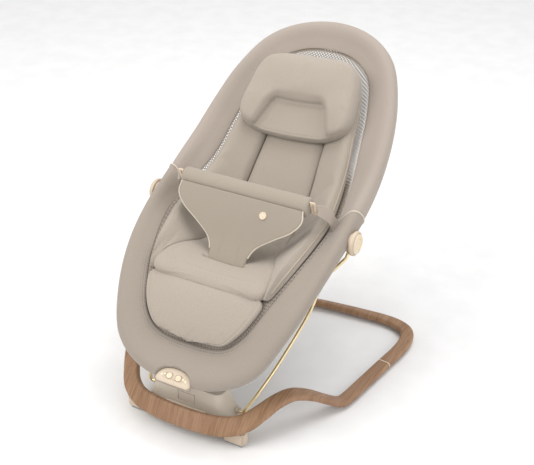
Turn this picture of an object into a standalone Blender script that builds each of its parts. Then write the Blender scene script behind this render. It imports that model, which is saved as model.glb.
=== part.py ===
"""Bouncer seat: a padded oval seat on a bent spring wire, over a wood-look floor frame.

The foot end of the seat is at -Y and its head end at +Y, +Z is up and the floor is z = 0.
The plane x = 0 is the plane of symmetry. All sizes are in metres.
"""
import math

import bmesh
import bpy
from mathutils import Matrix, Vector

GAP = 0.0003                    # clearance between pieces that touch
RUN = 0.0008                    # running clearance between pieces that move

# floor frame
BASE_HALF_WIDTH = 0.272         # centre line of the side rails at their widest
BAND_THICKNESS = 0.014
RAIL_WIDTH = 0.029
FRONT_WIDTH = 0.040             # height of the band's face across the front
RAIL_HEIGHT = 0.0125            # centre line of the rails above the floor
RING_LENGTH = 0.0025
BRACKET_WIDTH = 0.090           # block between the pedestal and the front of the band
BRACKET_DEPTH = 0.020
BRACKET_HEIGHT = 0.018
BRACKET_Z = 0.042
FOOT_LENGTH = 0.046
FOOT_DEPTH = 0.024
FOOT_TOP = 0.036                # before the band and the pedestal are cut out of it
FOOT_X = 0.110
FOOT_Y = -0.3030
REAR_FOOT_Y = 0.1800
REAR_FOOT_HEIGHT = 0.0040
RAIL_PAD_X = 0.910 * BASE_HALF_WIDTH
RAIL_PAD_Y = -0.0710
SOLE_THICKNESS = 0.004
REAR_FOOT_HALF_LENGTH = 0.026
REAR_FOOT_DEPTH = 0.018
RAIL_PAD_WIDTH = 0.014
RAIL_PAD_LENGTH = 0.034

# pedestal at the front
PEDESTAL_BOTTOM_HALF_WIDTH = 0.106
PEDESTAL_TOP_HALF_WIDTH = 0.076
PEDESTAL_BOTTOM_Z = 0.020
PEDESTAL_TOP_Z = 0.096
PEDESTAL_WALL = 0.0025
PEDESTAL_FRONT_Y = -0.3050
PEDESTAL_DEPTH = 0.066
PEDESTAL_TAPER = 0.014          # by which the back leans in from the floor to the top
PEDESTAL_CORNER = 0.016
PEDESTAL_FLOOR_THICKNESS = 0.003
COVER_WIDTH = 0.038
COVER_HEIGHT = 0.022
COVER_Z = 0.068
COVER_THICKNESS = 0.0022
COVER_SLIT = 0.0006             # all round the cover

# spring wire and its axis through the pedestal
WIRE_RADIUS = 0.0032
WIRE_AXIS_Y = -0.2650
WIRE_AXIS_Z = 0.046
WIRE_BEND = 0.006
WIRE_ELBOW = 0.0185             # from the bush's middle to the wire's bend
BUSH_RADIUS = 0.0065
CLAMP_LENGTH = 0.060
CLAMP_DEPTH = 0.018
CLAMP_COVER = 0.012             # of the clamp above the wire's axis
BUSH_LENGTH = 0.012

# hubs
HUB_Y = -0.0420
HUB_Z = 0.344
HUB_RADIUS = 0.0245
HUB_DEPTH = 0.0155
HUB_WALL = 0.0025
HUB_RECESS = 0.0010             # clearance around the hub in the rim pad
BOSS_RADIUS = 0.013
BUTTON_RADIUS = 0.0205
BUTTON_PROUD = 0.004
BUTTON_TRAVEL = 0.003
BUTTON_DEPTH = 0.007
SPRING_RADIUS = 0.009
SPRING_WIRE_RADIUS = 0.0006
SPRING_TURNS = 3

# seat rim: half width, and the tube inside it
HUB_STATION = 5.5               # where the hubs stand along the rim
RIM_HALF_WIDTH = 0.222
RIM_THICKNESS = 0.036
TUBE_RADIUS = 0.008
TUBE_INSET = 0.021              # tube's centre line in from the rim's outer edge
BORE_SLACK = 0.0012             # radial room for the tube in the padding
TUBE_DETOUR = 0.020             # how much further in it passes behind the control unit
SEAM_STATION = 5.95             # where the upper and lower rim pads meet
SLING_THICKNESS = 0.003
PAD_LIFT = 0.0035               # the cushions lie this far off the sling's coarse facets
PAD_THICKNESS = 0.018
WING_THICKNESS = 0.022
LEG_PAD_THICKNESS = 0.014
PILLOW_THICKNESS = 0.036
PILLOW_SHARE = 0.88             # of the way from the middle line to the rim
BACK_SHARE = 0.48
SEAT_SHARE = 0.62
SEAM_SHARE = 0.02
KNEE_STATION = 3.25
FOLD_STATION = 6.1              # where the seat and the back meet

# harness
ROLL_RADIUS = 0.0195
ROLL_HALF_LENGTH = 0.140
ROLL_Y = -0.0630
ROLL_Z = 0.409
CLOTH_THICKNESS = 0.005
WEBBING_WIDTH = 0.025
WEBBING_THICKNESS = 0.002
CROTCH_Y = -0.1410
CROTCH_Z = 0.284
CROTCH_HALF_WIDTH = 0.040
BUCKLE_LENGTH = 0.033
BUCKLE_WIDTH = 0.012
BUCKLE_THICKNESS = 0.0035
BUCKLE_SLOT = 0.0036
BUCKLE_SWING = 0.0045           # room beside the buckle for it to swing past the webbing
BUCKLE_END = 0.0035             # of the buckle beyond its slot
STRAP_LEAN = math.radians(20)
STUD_RADIUS = 0.0075

# control unit at the foot end
UNIT_Y = -0.3405
UNIT_Z = 0.1375
UNIT_TILT = math.radians(50)    # the panel's face leans back by this from facing the front
PANEL_HALF_WIDTH = 0.0385
PANEL_HEIGHT = 0.032
PANEL_THICKNESS = 0.004
CASE_DEPTH = 0.021
CASE_WALL = 0.0018
KEY_RADIUS = 0.0058
KEY_DEPTH = 0.0030
KEY_SPACING = 0.020
CASE_HEIGHT = 0.020
CASE_MID = -0.0025              # of the case, below the panel's middle
MOTOR_RADIUS = 0.0050
MOTOR_LENGTH = 0.018
MOTOR_X = -0.014
MOTOR_OUT = -0.0125             # behind the panel's back
WEIGHT_RADIUS = 0.0045
WEIGHT_THICKNESS = 0.0035

# Outer and inner edge of the rim from the foot end's middle to the head end's middle, as
# (share of RIM_HALF_WIDTH, y, z)
RIM_OUTER = [
    (0.000, -0.3450, 0.131), (0.390, -0.3350, 0.138), (0.680, -0.3020, 0.167),
    (0.840, -0.2470, 0.226), (0.930, -0.1830, 0.283), (0.974, -0.0990, 0.340),
    (0.975, 0.0020, 0.390), (0.966, 0.0870, 0.431), (0.925, 0.1650, 0.484),
    (0.838, 0.2250, 0.534), (0.668, 0.2840, 0.586), (0.375, 0.3250, 0.616),
    (0.000, 0.3440, 0.625)]
RIM_INNER = [
    (0.000, -0.2860, 0.186), (0.300, -0.2830, 0.192), (0.470, -0.2690, 0.218),
    (0.580, -0.2330, 0.256), (0.675, -0.1780, 0.296), (0.760, -0.0930, 0.334),
    (0.765, -0.0030, 0.358), (0.708, 0.0820, 0.396), (0.656, 0.1470, 0.457),
    (0.598, 0.2020, 0.508), (0.480, 0.2550, 0.552), (0.270, 0.2870, 0.574),
    (0.000, 0.2970, 0.580)]
SEAT_MIDDLE = (0.0, -0.013, 0.38)
SLING_SHRINK = 0.985            # keeps the sling's edge inside the rim's inner edge
# Middle line of the sling, at the same stations, as (y, z)
SLING_MIDDLE = [
    (-0.2860, 0.183), (-0.2810, 0.192), (-0.2630, 0.222), (-0.2290, 0.256), (-0.1780, 0.267),
    (-0.0980, 0.260), (-0.0230, 0.266), (0.0470, 0.305), (0.1170, 0.378), (0.1820, 0.450),
    (0.2370, 0.512), (0.2770, 0.556), (0.2950, 0.577)]
LAST = len(RIM_OUTER) - 1

# Centre line of the floor band's right half, as (share of BASE_HALF_WIDTH, y, z, width, tilt
# in degrees). The tilt drops the outer edge, so the band stands at the front and lies flat along the rails.
BAND_FRONT = [
    (0.000, -0.3330, 0.0450, FRONT_WIDTH, -60), (0.221, -0.3290, 0.0450, FRONT_WIDTH, -60),
    (0.368, -0.3190, 0.0470, 0.039, -54), (0.478, -0.2990, 0.0540, 0.037, -38),
    (0.548, -0.2730, 0.0670, 0.034, -24), (0.610, -0.2440, 0.0795, 0.032, -14),
    (0.676, -0.2120, 0.0820, 0.031, -8), (0.750, -0.1760, 0.0640, 0.030, -4),
    (0.824, -0.1390, 0.0350, RAIL_WIDTH, 0), (0.875, -0.1130, 0.0165, RAIL_WIDTH, 0),
    (0.901, -0.0900, RAIL_HEIGHT, RAIL_WIDTH, 0), (0.930, -0.0330, RAIL_HEIGHT, RAIL_WIDTH, 0),
    (0.971, 0.0510, RAIL_HEIGHT, RAIL_WIDTH, 0)]
BAND_REAR = [
    (0.971, 0.0510, RAIL_HEIGHT, RAIL_WIDTH, 0), (1.000, 0.1120, RAIL_HEIGHT, RAIL_WIDTH, 0),
    (0.996, 0.1550, RAIL_HEIGHT, RAIL_WIDTH, 0), (0.934, 0.1880, RAIL_HEIGHT, RAIL_WIDTH, 0),
    (0.779, 0.2030, RAIL_HEIGHT, 0.028, -4), (0.515, 0.2020, 0.0125, 0.027, -12),
    (0.239, 0.1950, 0.0130, 0.026, -18), (0.000, 0.1870, 0.0135, 0.026, -20)]

# Spring wire from its elbow beside the pedestal to the hub, as (share of the way across to
# the hub, y, z)
WIRE_ROUTE = [
    (0.00, -0.2645, 0.0510), (0.04, -0.2590, 0.0610), (0.13, -0.2380, 0.0800),
    (0.26, -0.1770, 0.1210), (0.48, -0.1030, 0.2000), (0.61, -0.0780, 0.2650),
    (0.82, -0.0710, 0.2960), (1.00, -0.0650, 0.3220)]


def start_clean():
    for old in list(bpy.data.objects):
        bpy.data.objects.remove(old, do_unlink=True)
    for old in list(bpy.data.collections):
        bpy.data.collections.remove(old)
    parts = bpy.data.collections.new("bouncer_seat")
    tools = bpy.data.collections.new("cutters")
    bpy.context.scene.collection.children.link(parts)
    bpy.context.scene.collection.children.link(tools)
    return parts, tools


PARTS, CUTTERS = start_clean()


def material(name, colour, roughness=0.5, metallic=0.0):
    made = bpy.data.materials.new(name)
    made.use_nodes = True
    shader = made.node_tree.nodes["Principled BSDF"]
    shader.inputs["Base Color"].default_value = (*colour, 1.0)
    shader.inputs["Roughness"].default_value = roughness
    shader.inputs["Metallic"].default_value = metallic
    made.diffuse_color = (*colour, 1.0)
    return made


WOOD = material("walnut_look", (0.27, 0.145, 0.085), 0.55)
CREAM = material("cream_plastic", (0.72, 0.66, 0.59), 0.4)
GREY_RUBBER = material("grey_rubber", (0.45, 0.44, 0.42), 0.8)
GOLD = material("gold_wire", (0.72, 0.54, 0.26), 0.3, 1.0)
STEEL = material("steel", (0.55, 0.55, 0.56), 0.35, 1.0)
DARK = material("dark_plastic", (0.08, 0.08, 0.09), 0.5)
BOARD = material("circuit_board", (0.05, 0.22, 0.10), 0.5)
TAUPE = material("taupe_knit", (0.47, 0.40, 0.34), 0.9)
MESH_CLOTH = material("mesh_cloth", (0.55, 0.49, 0.42), 0.9)
BEIGE = material("beige_cloth", (0.52, 0.45, 0.35), 0.9)


# ---- general helpers ----------------------------------------------------------------

def smooth_value(points, s):
    """Point at s on the smooth curve through the points, whose stations are 0, 1, 2 ..."""
    last = len(points) - 1
    s = min(max(s, 0.0), float(last))
    i = min(int(s), last - 1)
    f = s - i
    p1 = Vector(points[i])
    p2 = Vector(points[i + 1])
    p0 = Vector(points[i - 1]) if i > 0 else p1 * 2 - p2
    p3 = Vector(points[i + 2]) if i + 2 <= last else p2 * 2 - p1
    return 0.5 * (2 * p1 + (p2 - p0) * f + (2 * p0 - 5 * p1 + 4 * p2 - p3) * f * f
                  + (3 * p1 - p0 - 3 * p2 + p3) * f * f * f)


def mirrored(points):
    """A left half before a right half that starts on the plane x = 0."""
    left = [(-p[0], *p[1:]) for p in reversed(points[1:])]
    return left + list(points)


def finish(obj, coat, collection=None):
    (collection or PARTS).objects.link(obj)
    obj.data.materials.append(coat)
    return obj


def from_bmesh(name, made, coat, smooth_angle=40, collection=None):
    bmesh.ops.recalc_face_normals(made, faces=made.faces)
    if made.calc_volume(signed=True) < 0:
        bmesh.ops.reverse_faces(made, faces=made.faces)
    data = bpy.data.meshes.new(name)
    made.to_mesh(data)
    made.free()
    if smooth_angle:
        data.shade_smooth()
        data.set_sharp_from_angle(angle=math.radians(smooth_angle))
    return finish(bpy.data.objects.new(name, data), coat, collection)


def add_ring(made, ring):
    return [made.verts.new(p) for p in ring]


def bridge(made, one, two):
    count = len(one)
    for i in range(count):
        j = (i + 1) % count
        made.faces.new((one[i], one[j], two[j], two[i]))


def loft(name, rings, coat, closed=False, bore=None, smooth_angle=40):
    """Skin over rings of equal length; a bore is a second row of rings inside the first."""
    made = bmesh.new()
    outer = [add_ring(made, ring) for ring in rings]
    for one, two in zip(outer, outer[1:]):
        bridge(made, one, two)
    if closed:
        bridge(made, outer[-1], outer[0])
    elif bore:
        inner = [add_ring(made, ring) for ring in bore]
        for one, two in zip(inner, inner[1:]):
            bridge(made, one, two)
        bridge(made, outer[0], inner[0])
        bridge(made, outer[-1], inner[-1])
    else:
        made.faces.new(outer[0])
        made.faces.new(outer[-1])
    return from_bmesh(name, made, coat, smooth_angle)


def slab(name, low, high, coat):
    """Closed solid between two grids of points of the same size."""
    made = bmesh.new()
    rows = len(low)
    columns = len(low[0])
    sheets = [[add_ring(made, row) for row in grid] for grid in (low, high)]
    for grid in sheets:
        for r in range(rows - 1):
            for c in range(columns - 1):
                made.faces.new((grid[r][c], grid[r + 1][c], grid[r + 1][c + 1], grid[r][c + 1]))
    edge = [(0, c) for c in range(columns)] + [(r, columns - 1) for r in range(1, rows)]
    edge += [(rows - 1, c) for c in range(columns - 2, -1, -1)]
    edge += [(r, 0) for r in range(rows - 2, 0, -1)]
    bridge(made, [sheets[0][r][c] for r, c in edge], [sheets[1][r][c] for r, c in edge])
    return from_bmesh(name, made, coat)


def box(name, size, centre, coat, bevel=0.0, turn=None, collection=None):
    made = bmesh.new()
    bmesh.ops.create_cube(made, size=1.0)
    bmesh.ops.scale(made, vec=size, verts=made.verts)
    if bevel:
        bmesh.ops.bevel(made, geom=made.edges[:], offset=bevel, segments=2, affect="EDGES")
    if turn is not None:
        bmesh.ops.transform(made, matrix=turn, verts=made.verts)
    obj = from_bmesh(name, made, coat, collection=collection)
    obj.location = centre
    return obj


def cylinder(name, radius, length, centre, coat, turn=None, sides=24, bevel=0.0,
             collection=None):
    """Cylinder along X, or along the X of the turn."""
    made = bmesh.new()
    bmesh.ops.create_cone(made, cap_ends=True, segments=sides, radius1=radius,
                          radius2=radius, depth=length,
                          matrix=Matrix.Rotation(math.pi / 2, 4, "Y"))
    if bevel:
        rims = [e for e in made.edges if len([f for f in e.link_faces if len(f.verts) > 4])]
        bmesh.ops.bevel(made, geom=rims, offset=bevel, segments=2, affect="EDGES")
    if turn is not None:
        bmesh.ops.transform(made, matrix=turn, verts=made.verts)
    obj = from_bmesh(name, made, coat, collection=collection)
    obj.location = centre
    return obj


def stepped_cutter(name, profile, y, z, sign, sides=32):
    """Cutter turned about an axis along X through (y, z), from a profile of (x, radius)."""
    rings = []
    for x, radius in profile:
        angles = [2 * math.pi * k / sides for k in range(sides)]
        rings.append([Vector((sign * x, y + radius * math.cos(a), z + radius * math.sin(a)))
                      for a in angles])
    return as_cutter(loft(name, rings, STEEL))


def as_cutter(tool):
    PARTS.objects.unlink(tool)
    CUTTERS.objects.link(tool)
    return tool


def rod(name, points, radius, coat, sides_level=2):
    """Bent rod with filled ends, as a welded mesh."""
    line = bpy.data.curves.new(name + "_line", "CURVE")
    line.dimensions = "3D"
    line.bevel_depth = radius
    line.bevel_resolution = sides_level
    line.use_fill_caps = True
    spline = line.splines.new("POLY")
    spline.points.add(len(points) - 1)
    for spot, p in zip(spline.points, points):
        spot.co = (*p, 1.0)
    guide = bpy.data.objects.new(name + "_line", line)
    PARTS.objects.link(guide)
    bpy.context.view_layer.update()
    graph = bpy.context.evaluated_depsgraph_get()
    data = bpy.data.meshes.new_from_object(guide.evaluated_get(graph))
    made = bmesh.new()
    made.from_mesh(data)
    bmesh.ops.remove_doubles(made, verts=made.verts, dist=0.00001)
    place = guide.matrix_world.copy()
    bpy.data.objects.remove(guide)
    bpy.data.curves.remove(line)
    bpy.data.meshes.remove(data)
    obj = from_bmesh(name, made, coat)
    obj.matrix_world = place
    return obj


def cut(obj, cutter):
    cutter.hide_render = True
    cutter.display_type = "WIRE"
    step = obj.modifiers.new("cut_" + cutter.name, "BOOLEAN")
    step.operation = "DIFFERENCE"
    step.solver = "EXACT"
    step.object = cutter


def cutter_cylinder(name, radius, length, centre, turn=None, sides=24):
    return cylinder(name, radius, length, centre, STEEL, turn, sides, collection=CUTTERS)


def cutter_box(name, size, centre, turn=None):
    return box(name, size, centre, STEEL, turn=turn, collection=CUTTERS)


def rounded(width, height, corner, steps=3):
    """Outline of a rectangle with round corners, as (u, v) around its middle."""
    outline = []
    corners = ((1, 1, 0), (-1, 1, 90), (-1, -1, 180), (1, -1, 270))
    for sign_u, sign_v, start in corners:
        for k in range(steps + 1):
            angle = math.radians(start + 90 * k / steps)
            outline.append((sign_u * (width / 2 - corner) + corner * math.cos(angle),
                            sign_v * (height / 2 - corner) + corner * math.sin(angle)))
    return outline


# ---- floor frame --------------------------------------------------------------------

def band_rings(stations, steps, start=0.0, stop=0.0, spare=0.0):
    """Rings of the band along its stations, leaving start and stop free at its two ends."""
    line = [(share * BASE_HALF_WIDTH, y, z, width, tilt)
            for share, y, z, width, tilt in stations]
    last = len(line) - 1
    values = []
    for k in range(steps + 1):
        s = last * k / steps
        spot = smooth_value([p[:3] for p in line], s)
        width, tilt, _ = smooth_value([(p[3], p[4], 0) for p in line], s)
        values.append([spot, width, tilt])
    values[0][0] += (values[1][0] - values[0][0]).normalized() * start
    values[-1][0] -= (values[-1][0] - values[-2][0]).normalized() * stop
    rings = []
    for k, (spot, width, tilt) in enumerate(values):
        ahead = values[min(k + 1, steps)][0] - values[max(k - 1, 0)][0]
        ahead.normalize()
        outward = Vector((0, 0, 1)).cross(ahead).normalized()
        upward = ahead.cross(outward).normalized()
        outward = -outward
        angle = math.radians(tilt)
        across = outward * math.cos(angle) + upward * math.sin(angle)
        normal = upward * math.cos(angle) - outward * math.sin(angle)
        outline = rounded(width + spare, BAND_THICKNESS + spare, BAND_THICKNESS * 0.42, 2)
        rings.append([spot + across * u + normal * v for u, v in outline])
    return rings


def joint_place():
    """Middle of the right joint of the band, and the direction of the rail there."""
    spots = [Vector((p[0] * BASE_HALF_WIDTH, *p[1:3])) for p in BAND_FRONT[-2:]]
    return spots[1], (spots[1] - spots[0]).normalized()


def make_band():
    half_ring = RING_LENGTH / 2 + GAP
    front = mirrored([tuple(p) for p in BAND_FRONT])
    rear = list(BAND_REAR) + [(-p[0], *p[1:]) for p in reversed(BAND_REAR[:-1])]
    loft("base_band_front", band_rings(front, 64, half_ring, half_ring), WOOD)
    loft("base_band_rear", band_rings(rear, 38, half_ring, half_ring), WOOD)
    bracket = box("band_bracket", (BRACKET_WIDTH, BRACKET_DEPTH, BRACKET_HEIGHT),
                  (0, PEDESTAL_FRONT_Y - BRACKET_DEPTH / 2 - GAP, BRACKET_Z), DARK)
    cut(bracket, as_cutter(loft("cut_bracket", band_rings(front, 64, spare=2 * GAP), STEEL)))
    here, ahead = joint_place()
    for side, sign in (("R", 1), ("L", -1)):
        made = []
        for shift in (-RING_LENGTH / 2, RING_LENGTH / 2):
            spot = here + ahead * shift
            outward = Vector((ahead.y, -ahead.x, 0))
            outline = rounded(RAIL_WIDTH + 2 * GAP, BAND_THICKNESS + 2 * GAP,
                              BAND_THICKNESS * 0.42, 2)
            ring = [spot + outward * u + Vector((0, 0, v)) for u, v in outline]
            made.append([Vector((p.x * sign, p.y, p.z)) for p in ring])
        loft("band_joint_ring_" + side, made, CREAM)


def make_feet():
    """Front feet, let into the band and the pedestal, their soles, and the rear pads."""
    front = mirrored([tuple(p) for p in BAND_FRONT])
    band = as_cutter(loft("cut_feet", band_rings(front, 64, spare=2 * GAP), STEEL))
    room = 0.040
    under = cutter_box("cut_feet_top", (2 * (PEDESTAL_BOTTOM_HALF_WIDTH + GAP),
                                        PEDESTAL_DEPTH + 2 * GAP, room),
                       (0, PEDESTAL_FRONT_Y + PEDESTAL_DEPTH / 2,
                        PEDESTAL_BOTTOM_Z - GAP + room / 2))
    for side, sign in (("R", 1), ("L", -1)):
        low = SOLE_THICKNESS + GAP
        foot = box("front_foot_" + side, (FOOT_LENGTH, FOOT_DEPTH, FOOT_TOP - low),
                   (sign * FOOT_X, FOOT_Y, (FOOT_TOP + low) / 2), CREAM, bevel=0.004)
        cut(foot, under)
        cut(foot, band)
        box("foot_sole_" + side, (FOOT_LENGTH - 0.010, FOOT_DEPTH - 0.008, SOLE_THICKNESS),
            (sign * FOOT_X, FOOT_Y, SOLE_THICKNESS / 2), GREY_RUBBER, bevel=0.0008)
        pad_height = RAIL_HEIGHT - BAND_THICKNESS / 2 - GAP
        box("rail_pad_" + side, (RAIL_PAD_WIDTH, RAIL_PAD_LENGTH, pad_height),
            (sign * RAIL_PAD_X, RAIL_PAD_Y, pad_height / 2), GREY_RUBBER, bevel=0.0012)
    box("rear_foot", (2 * REAR_FOOT_HALF_LENGTH, REAR_FOOT_DEPTH, REAR_FOOT_HEIGHT),
        (0, REAR_FOOT_Y, REAR_FOOT_HEIGHT / 2), CREAM, bevel=0.001)


# ---- pedestal -----------------------------------------------------------------------

def pedestal_ring(share, inset, drop=0.0):
    """Outline of the pedestal at a share of its height; the sides flare towards the floor."""
    flare = (1 - share) ** 1.8
    half = PEDESTAL_TOP_HALF_WIDTH
    half += (PEDESTAL_BOTTOM_HALF_WIDTH - PEDESTAL_TOP_HALF_WIDTH) * flare - inset
    front = PEDESTAL_FRONT_Y + 0.004 * share + inset
    back = PEDESTAL_FRONT_Y + PEDESTAL_DEPTH - PEDESTAL_TAPER * (1 - flare) - inset
    z = PEDESTAL_BOTTOM_Z + (PEDESTAL_TOP_Z - PEDESTAL_BOTTOM_Z) * share - drop
    outline = rounded(2 * half, back - front, PEDESTAL_CORNER - inset, 4)
    return [Vector((u, (front + back) / 2 + v, z)) for u, v in outline]


def make_pedestal():
    shares = (0.0, 0.15, 0.3, 0.5, 0.75, 1.0)
    made = bmesh.new()
    outer = [add_ring(made, pedestal_ring(s, 0.0)) for s in shares]
    inner = [add_ring(made, pedestal_ring(s, PEDESTAL_WALL)) for s in shares[:-1]]
    inner.append(add_ring(made, pedestal_ring(1.0, PEDESTAL_WALL, PEDESTAL_WALL)))
    for rows in (outer, inner):
        for one, two in zip(rows, rows[1:]):
            bridge(made, one, two)
        made.faces.new(rows[-1])
    bridge(made, outer[0], inner[0])
    shell = from_bmesh("pedestal_shell", made, CREAM)
    bush_x = bush_place()
    for side, sign in (("R", 1), ("L", -1)):
        cut(shell, cutter_cylinder("cut_bush_" + side, BUSH_RADIUS + GAP, 0.060,
                                   (sign * bush_x, WIRE_AXIS_Y, WIRE_AXIS_Z)))
        bush = cylinder("wire_bush_" + side, BUSH_RADIUS, BUSH_LENGTH,
                        (sign * bush_x, WIRE_AXIS_Y, WIRE_AXIS_Z), DARK)
        cut(bush, cutter_cylinder("cut_bush_bore_" + side, WIRE_RADIUS + RUN, 0.030,
                                  (sign * bush_x, WIRE_AXIS_Y, WIRE_AXIS_Z), sides=16))
    cut(shell, cutter_box("cut_cover", (COVER_WIDTH, 0.012, COVER_HEIGHT),
                          (0, PEDESTAL_FRONT_Y, COVER_Z)))
    box("access_cover", (COVER_WIDTH - 2 * COVER_SLIT, COVER_THICKNESS,
                         COVER_HEIGHT - 2 * COVER_SLIT),
        (0, PEDESTAL_FRONT_Y + COVER_THICKNESS / 2 + PEDESTAL_WALL, COVER_Z), CREAM,
        bevel=COVER_THICKNESS / 5)
    low = PEDESTAL_BOTTOM_Z + GAP
    floor_top = low + PEDESTAL_FLOOR_THICKNESS
    outline = pedestal_ring(0.0, PEDESTAL_WALL + 10 * GAP)
    loft("pedestal_floor", [[Vector((p.x, p.y, z)) for p in outline]
                            for z in (low, floor_top)], CREAM)
    block_low = floor_top + GAP
    block_high = WIRE_AXIS_Z + CLAMP_COVER
    block = box("wire_clamp", (CLAMP_LENGTH, CLAMP_DEPTH, block_high - block_low),
                (0, WIRE_AXIS_Y, (block_low + block_high) / 2), DARK, bevel=0.001)
    cut(block, cutter_cylinder("cut_clamp", WIRE_RADIUS + RUN, CLAMP_LENGTH + 0.02,
                               (0, WIRE_AXIS_Y, WIRE_AXIS_Z), sides=16))


def bush_place():
    """Half the distance between the bushes, in the pedestal's side walls."""
    share = (WIRE_AXIS_Z - PEDESTAL_BOTTOM_Z) / (PEDESTAL_TOP_Z - PEDESTAL_BOTTOM_Z)
    flare = (1 - share) ** 1.8
    wide = PEDESTAL_BOTTOM_HALF_WIDTH - PEDESTAL_TOP_HALF_WIDTH
    return PEDESTAL_TOP_HALF_WIDTH + wide * flare - PEDESTAL_WALL / 2 + 0.002


# ---- seat surfaces ------------------------------------------------------------------

def rim_edge(table, s):
    """Point on an edge of the rim; a negative station is on the left half."""
    spot = smooth_value([(share * RIM_HALF_WIDTH, y, z) for share, y, z in
                         [(-table[1][0], *table[1][1:])] + table
                         + [(-table[-2][0], *table[-2][1:])]], abs(s) + 1)
    if s < 0:
        spot.x = -spot.x
    return spot


def sling_middle(s):
    y, z, _ = smooth_value([(y, z, 0) for y, z in SLING_MIDDLE], s)
    return Vector((0, y, z))


def sling_point(s, u, lift=0.0):
    """Point of the sling at station s, u from -1 to 1 across it, lifted off its face."""
    edge = rim_edge(RIM_INNER, s)
    middle = sling_middle(s)
    power = 2.6
    share = abs(u) ** power
    spot = Vector((edge.x * u, middle.y + (edge.y - middle.y) * share,
                   middle.z + (edge.z - middle.z) * share))
    hub = Vector(SEAT_MIDDLE)
    spot = hub + (spot - hub) * SLING_SHRINK
    if lift:
        step = 0.02
        across = sling_point(s, min(u + step, 1.0)) - sling_point(s, max(u - step, -1.0))
        ahead = sling_point(min(s + step, LAST), u) - sling_point(max(s - step, 0), u)
        spot += across.cross(ahead).normalized() * lift
    return spot


def sling_grid(stations, columns, lift):
    return [[sling_point(s, u, lift) for u in columns] for s in stations]


def spread(first, last, count):
    return [first + (last - first) * k / (count - 1) for k in range(count)]


def rim_frame(s):
    """Inner edge, outer edge, unit vector across the rim and unit vector off its face."""
    inner = rim_edge(RIM_INNER, s)
    outer = rim_edge(RIM_OUTER, s)
    across = (outer - inner).normalized()
    step = 0.05
    ahead = rim_edge(RIM_OUTER, s + step) - rim_edge(RIM_OUTER, s - step)
    return inner, outer, across, across.cross(ahead).normalized()


RIM_OUTLINE = [(0.0, 0.0), (0.16, 0.13), (0.42, 0.24), (0.68, 0.30), (0.86, 0.26),
               (0.96, 0.12), (1.0, -0.08), (0.97, -0.36), (0.86, -0.60), (0.68, -0.70),
               (0.46, -0.60), (0.24, -0.36), (0.08, -0.18)]


def rim_ring(s):
    inner, outer, across, normal = rim_frame(s)
    width = (outer - inner).length
    return [inner + across * (u * width) + normal * (v * RIM_THICKNESS)
            for u, v in RIM_OUTLINE]


def tube_centre(s):
    _, outer, across, normal = rim_frame(s)
    inset = TUBE_INSET + TUBE_DETOUR * math.exp(-(s / 1.3) ** 2)
    return outer - across * inset - normal * (0.2 * RIM_THICKNESS)


def bore_ring(s, radius):
    _, _, across, normal = rim_frame(s)
    centre = tube_centre(s)
    sides = len(RIM_OUTLINE)
    ring = []
    for k in range(sides):
        angle = math.pi - 2 * math.pi * k / sides
        ring.append(centre + across * (math.cos(angle) * radius)
                    + normal * (math.sin(angle) * radius))
    return ring


def make_rim():
    seam = SEAM_STATION
    slack = 0.006
    lower = spread(-seam + slack, seam - slack, 45)
    upper = spread(seam + slack, 2 * LAST - seam - slack, 47)
    fold = [s if s <= LAST else s - 2 * LAST for s in upper]
    bore = TUBE_RADIUS + BORE_SLACK
    pads = {}
    for name, stations in (("rim_pad_lower", lower), ("rim_pad_upper", fold)):
        pads[name] = loft(name, [rim_ring(s) for s in stations], TAUPE,
                          bore=[bore_ring(s, bore) for s in stations])
    tube_slack = 0.004
    lower_line = [tube_centre(s) for s in spread(-seam + tube_slack, seam - tube_slack, 45)]
    upper_line = [tube_centre(s if s <= LAST else s - 2 * LAST) for s in
                  spread(seam + tube_slack, 2 * LAST - seam - tube_slack, 47)]
    rod("seat_tube_lower", lower_line, TUBE_RADIUS, STEEL)
    rod("seat_tube_upper", upper_line, TUBE_RADIUS, STEEL)
    return pads


# ---- hubs ---------------------------------------------------------------------------

def hub_face():
    """Distance from the middle plane to the inner face of a hub."""
    return 0.9640 * RIM_HALF_WIDTH + 0.0015


def make_hubs(pads):
    face = hub_face()
    tube_x = tube_centre(HUB_STATION).x
    boss_start = tube_x + TUBE_RADIUS + GAP * 2
    boss_end = face - GAP
    for side, sign in (("R", 1), ("L", -1)):
        middle = (boss_start + boss_end) / 2
        cylinder("hub_boss_" + side, BOSS_RADIUS, boss_end - boss_start,
                 (sign * middle, HUB_Y, HUB_Z), DARK)
        recess = [(boss_start - GAP, BOSS_RADIUS + GAP * 2),
                  (face - HUB_RECESS, BOSS_RADIUS + GAP * 2),
                  (face - HUB_RECESS, HUB_RADIUS + HUB_RECESS),
                  (face + 0.030, HUB_RADIUS + HUB_RECESS)]
        cut(pads["rim_pad_lower"],
            stepped_cutter("cut_hub_recess_" + side, recess, HUB_Y, HUB_Z, sign))
        outer_x = face + HUB_DEPTH
        housing = cylinder("hub_housing_" + side, HUB_RADIUS, HUB_DEPTH,
                           (sign * (face + HUB_DEPTH / 2), HUB_Y, HUB_Z), CREAM, sides=32,
                           bevel=0.0015)
        cavity = HUB_DEPTH - HUB_WALL
        cut(housing, cutter_cylinder("cut_hub_" + side, BUTTON_RADIUS + RUN, cavity + 0.010,
                                     (sign * (outer_x - cavity / 2 + 0.005), HUB_Y, HUB_Z),
                                     sides=32))
        button_x = outer_x + BUTTON_PROUD - BUTTON_DEPTH / 2
        cylinder("recline_button_" + side, BUTTON_RADIUS, BUTTON_DEPTH,
                 (sign * button_x, HUB_Y, HUB_Z), CREAM, sides=32, bevel=0.0018)
        spring_start = face + HUB_WALL + GAP
        spring_end = outer_x + BUTTON_PROUD - BUTTON_DEPTH - BUTTON_TRAVEL - GAP
        make_spring("button_spring_" + side, sign, spring_start, spring_end)


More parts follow.
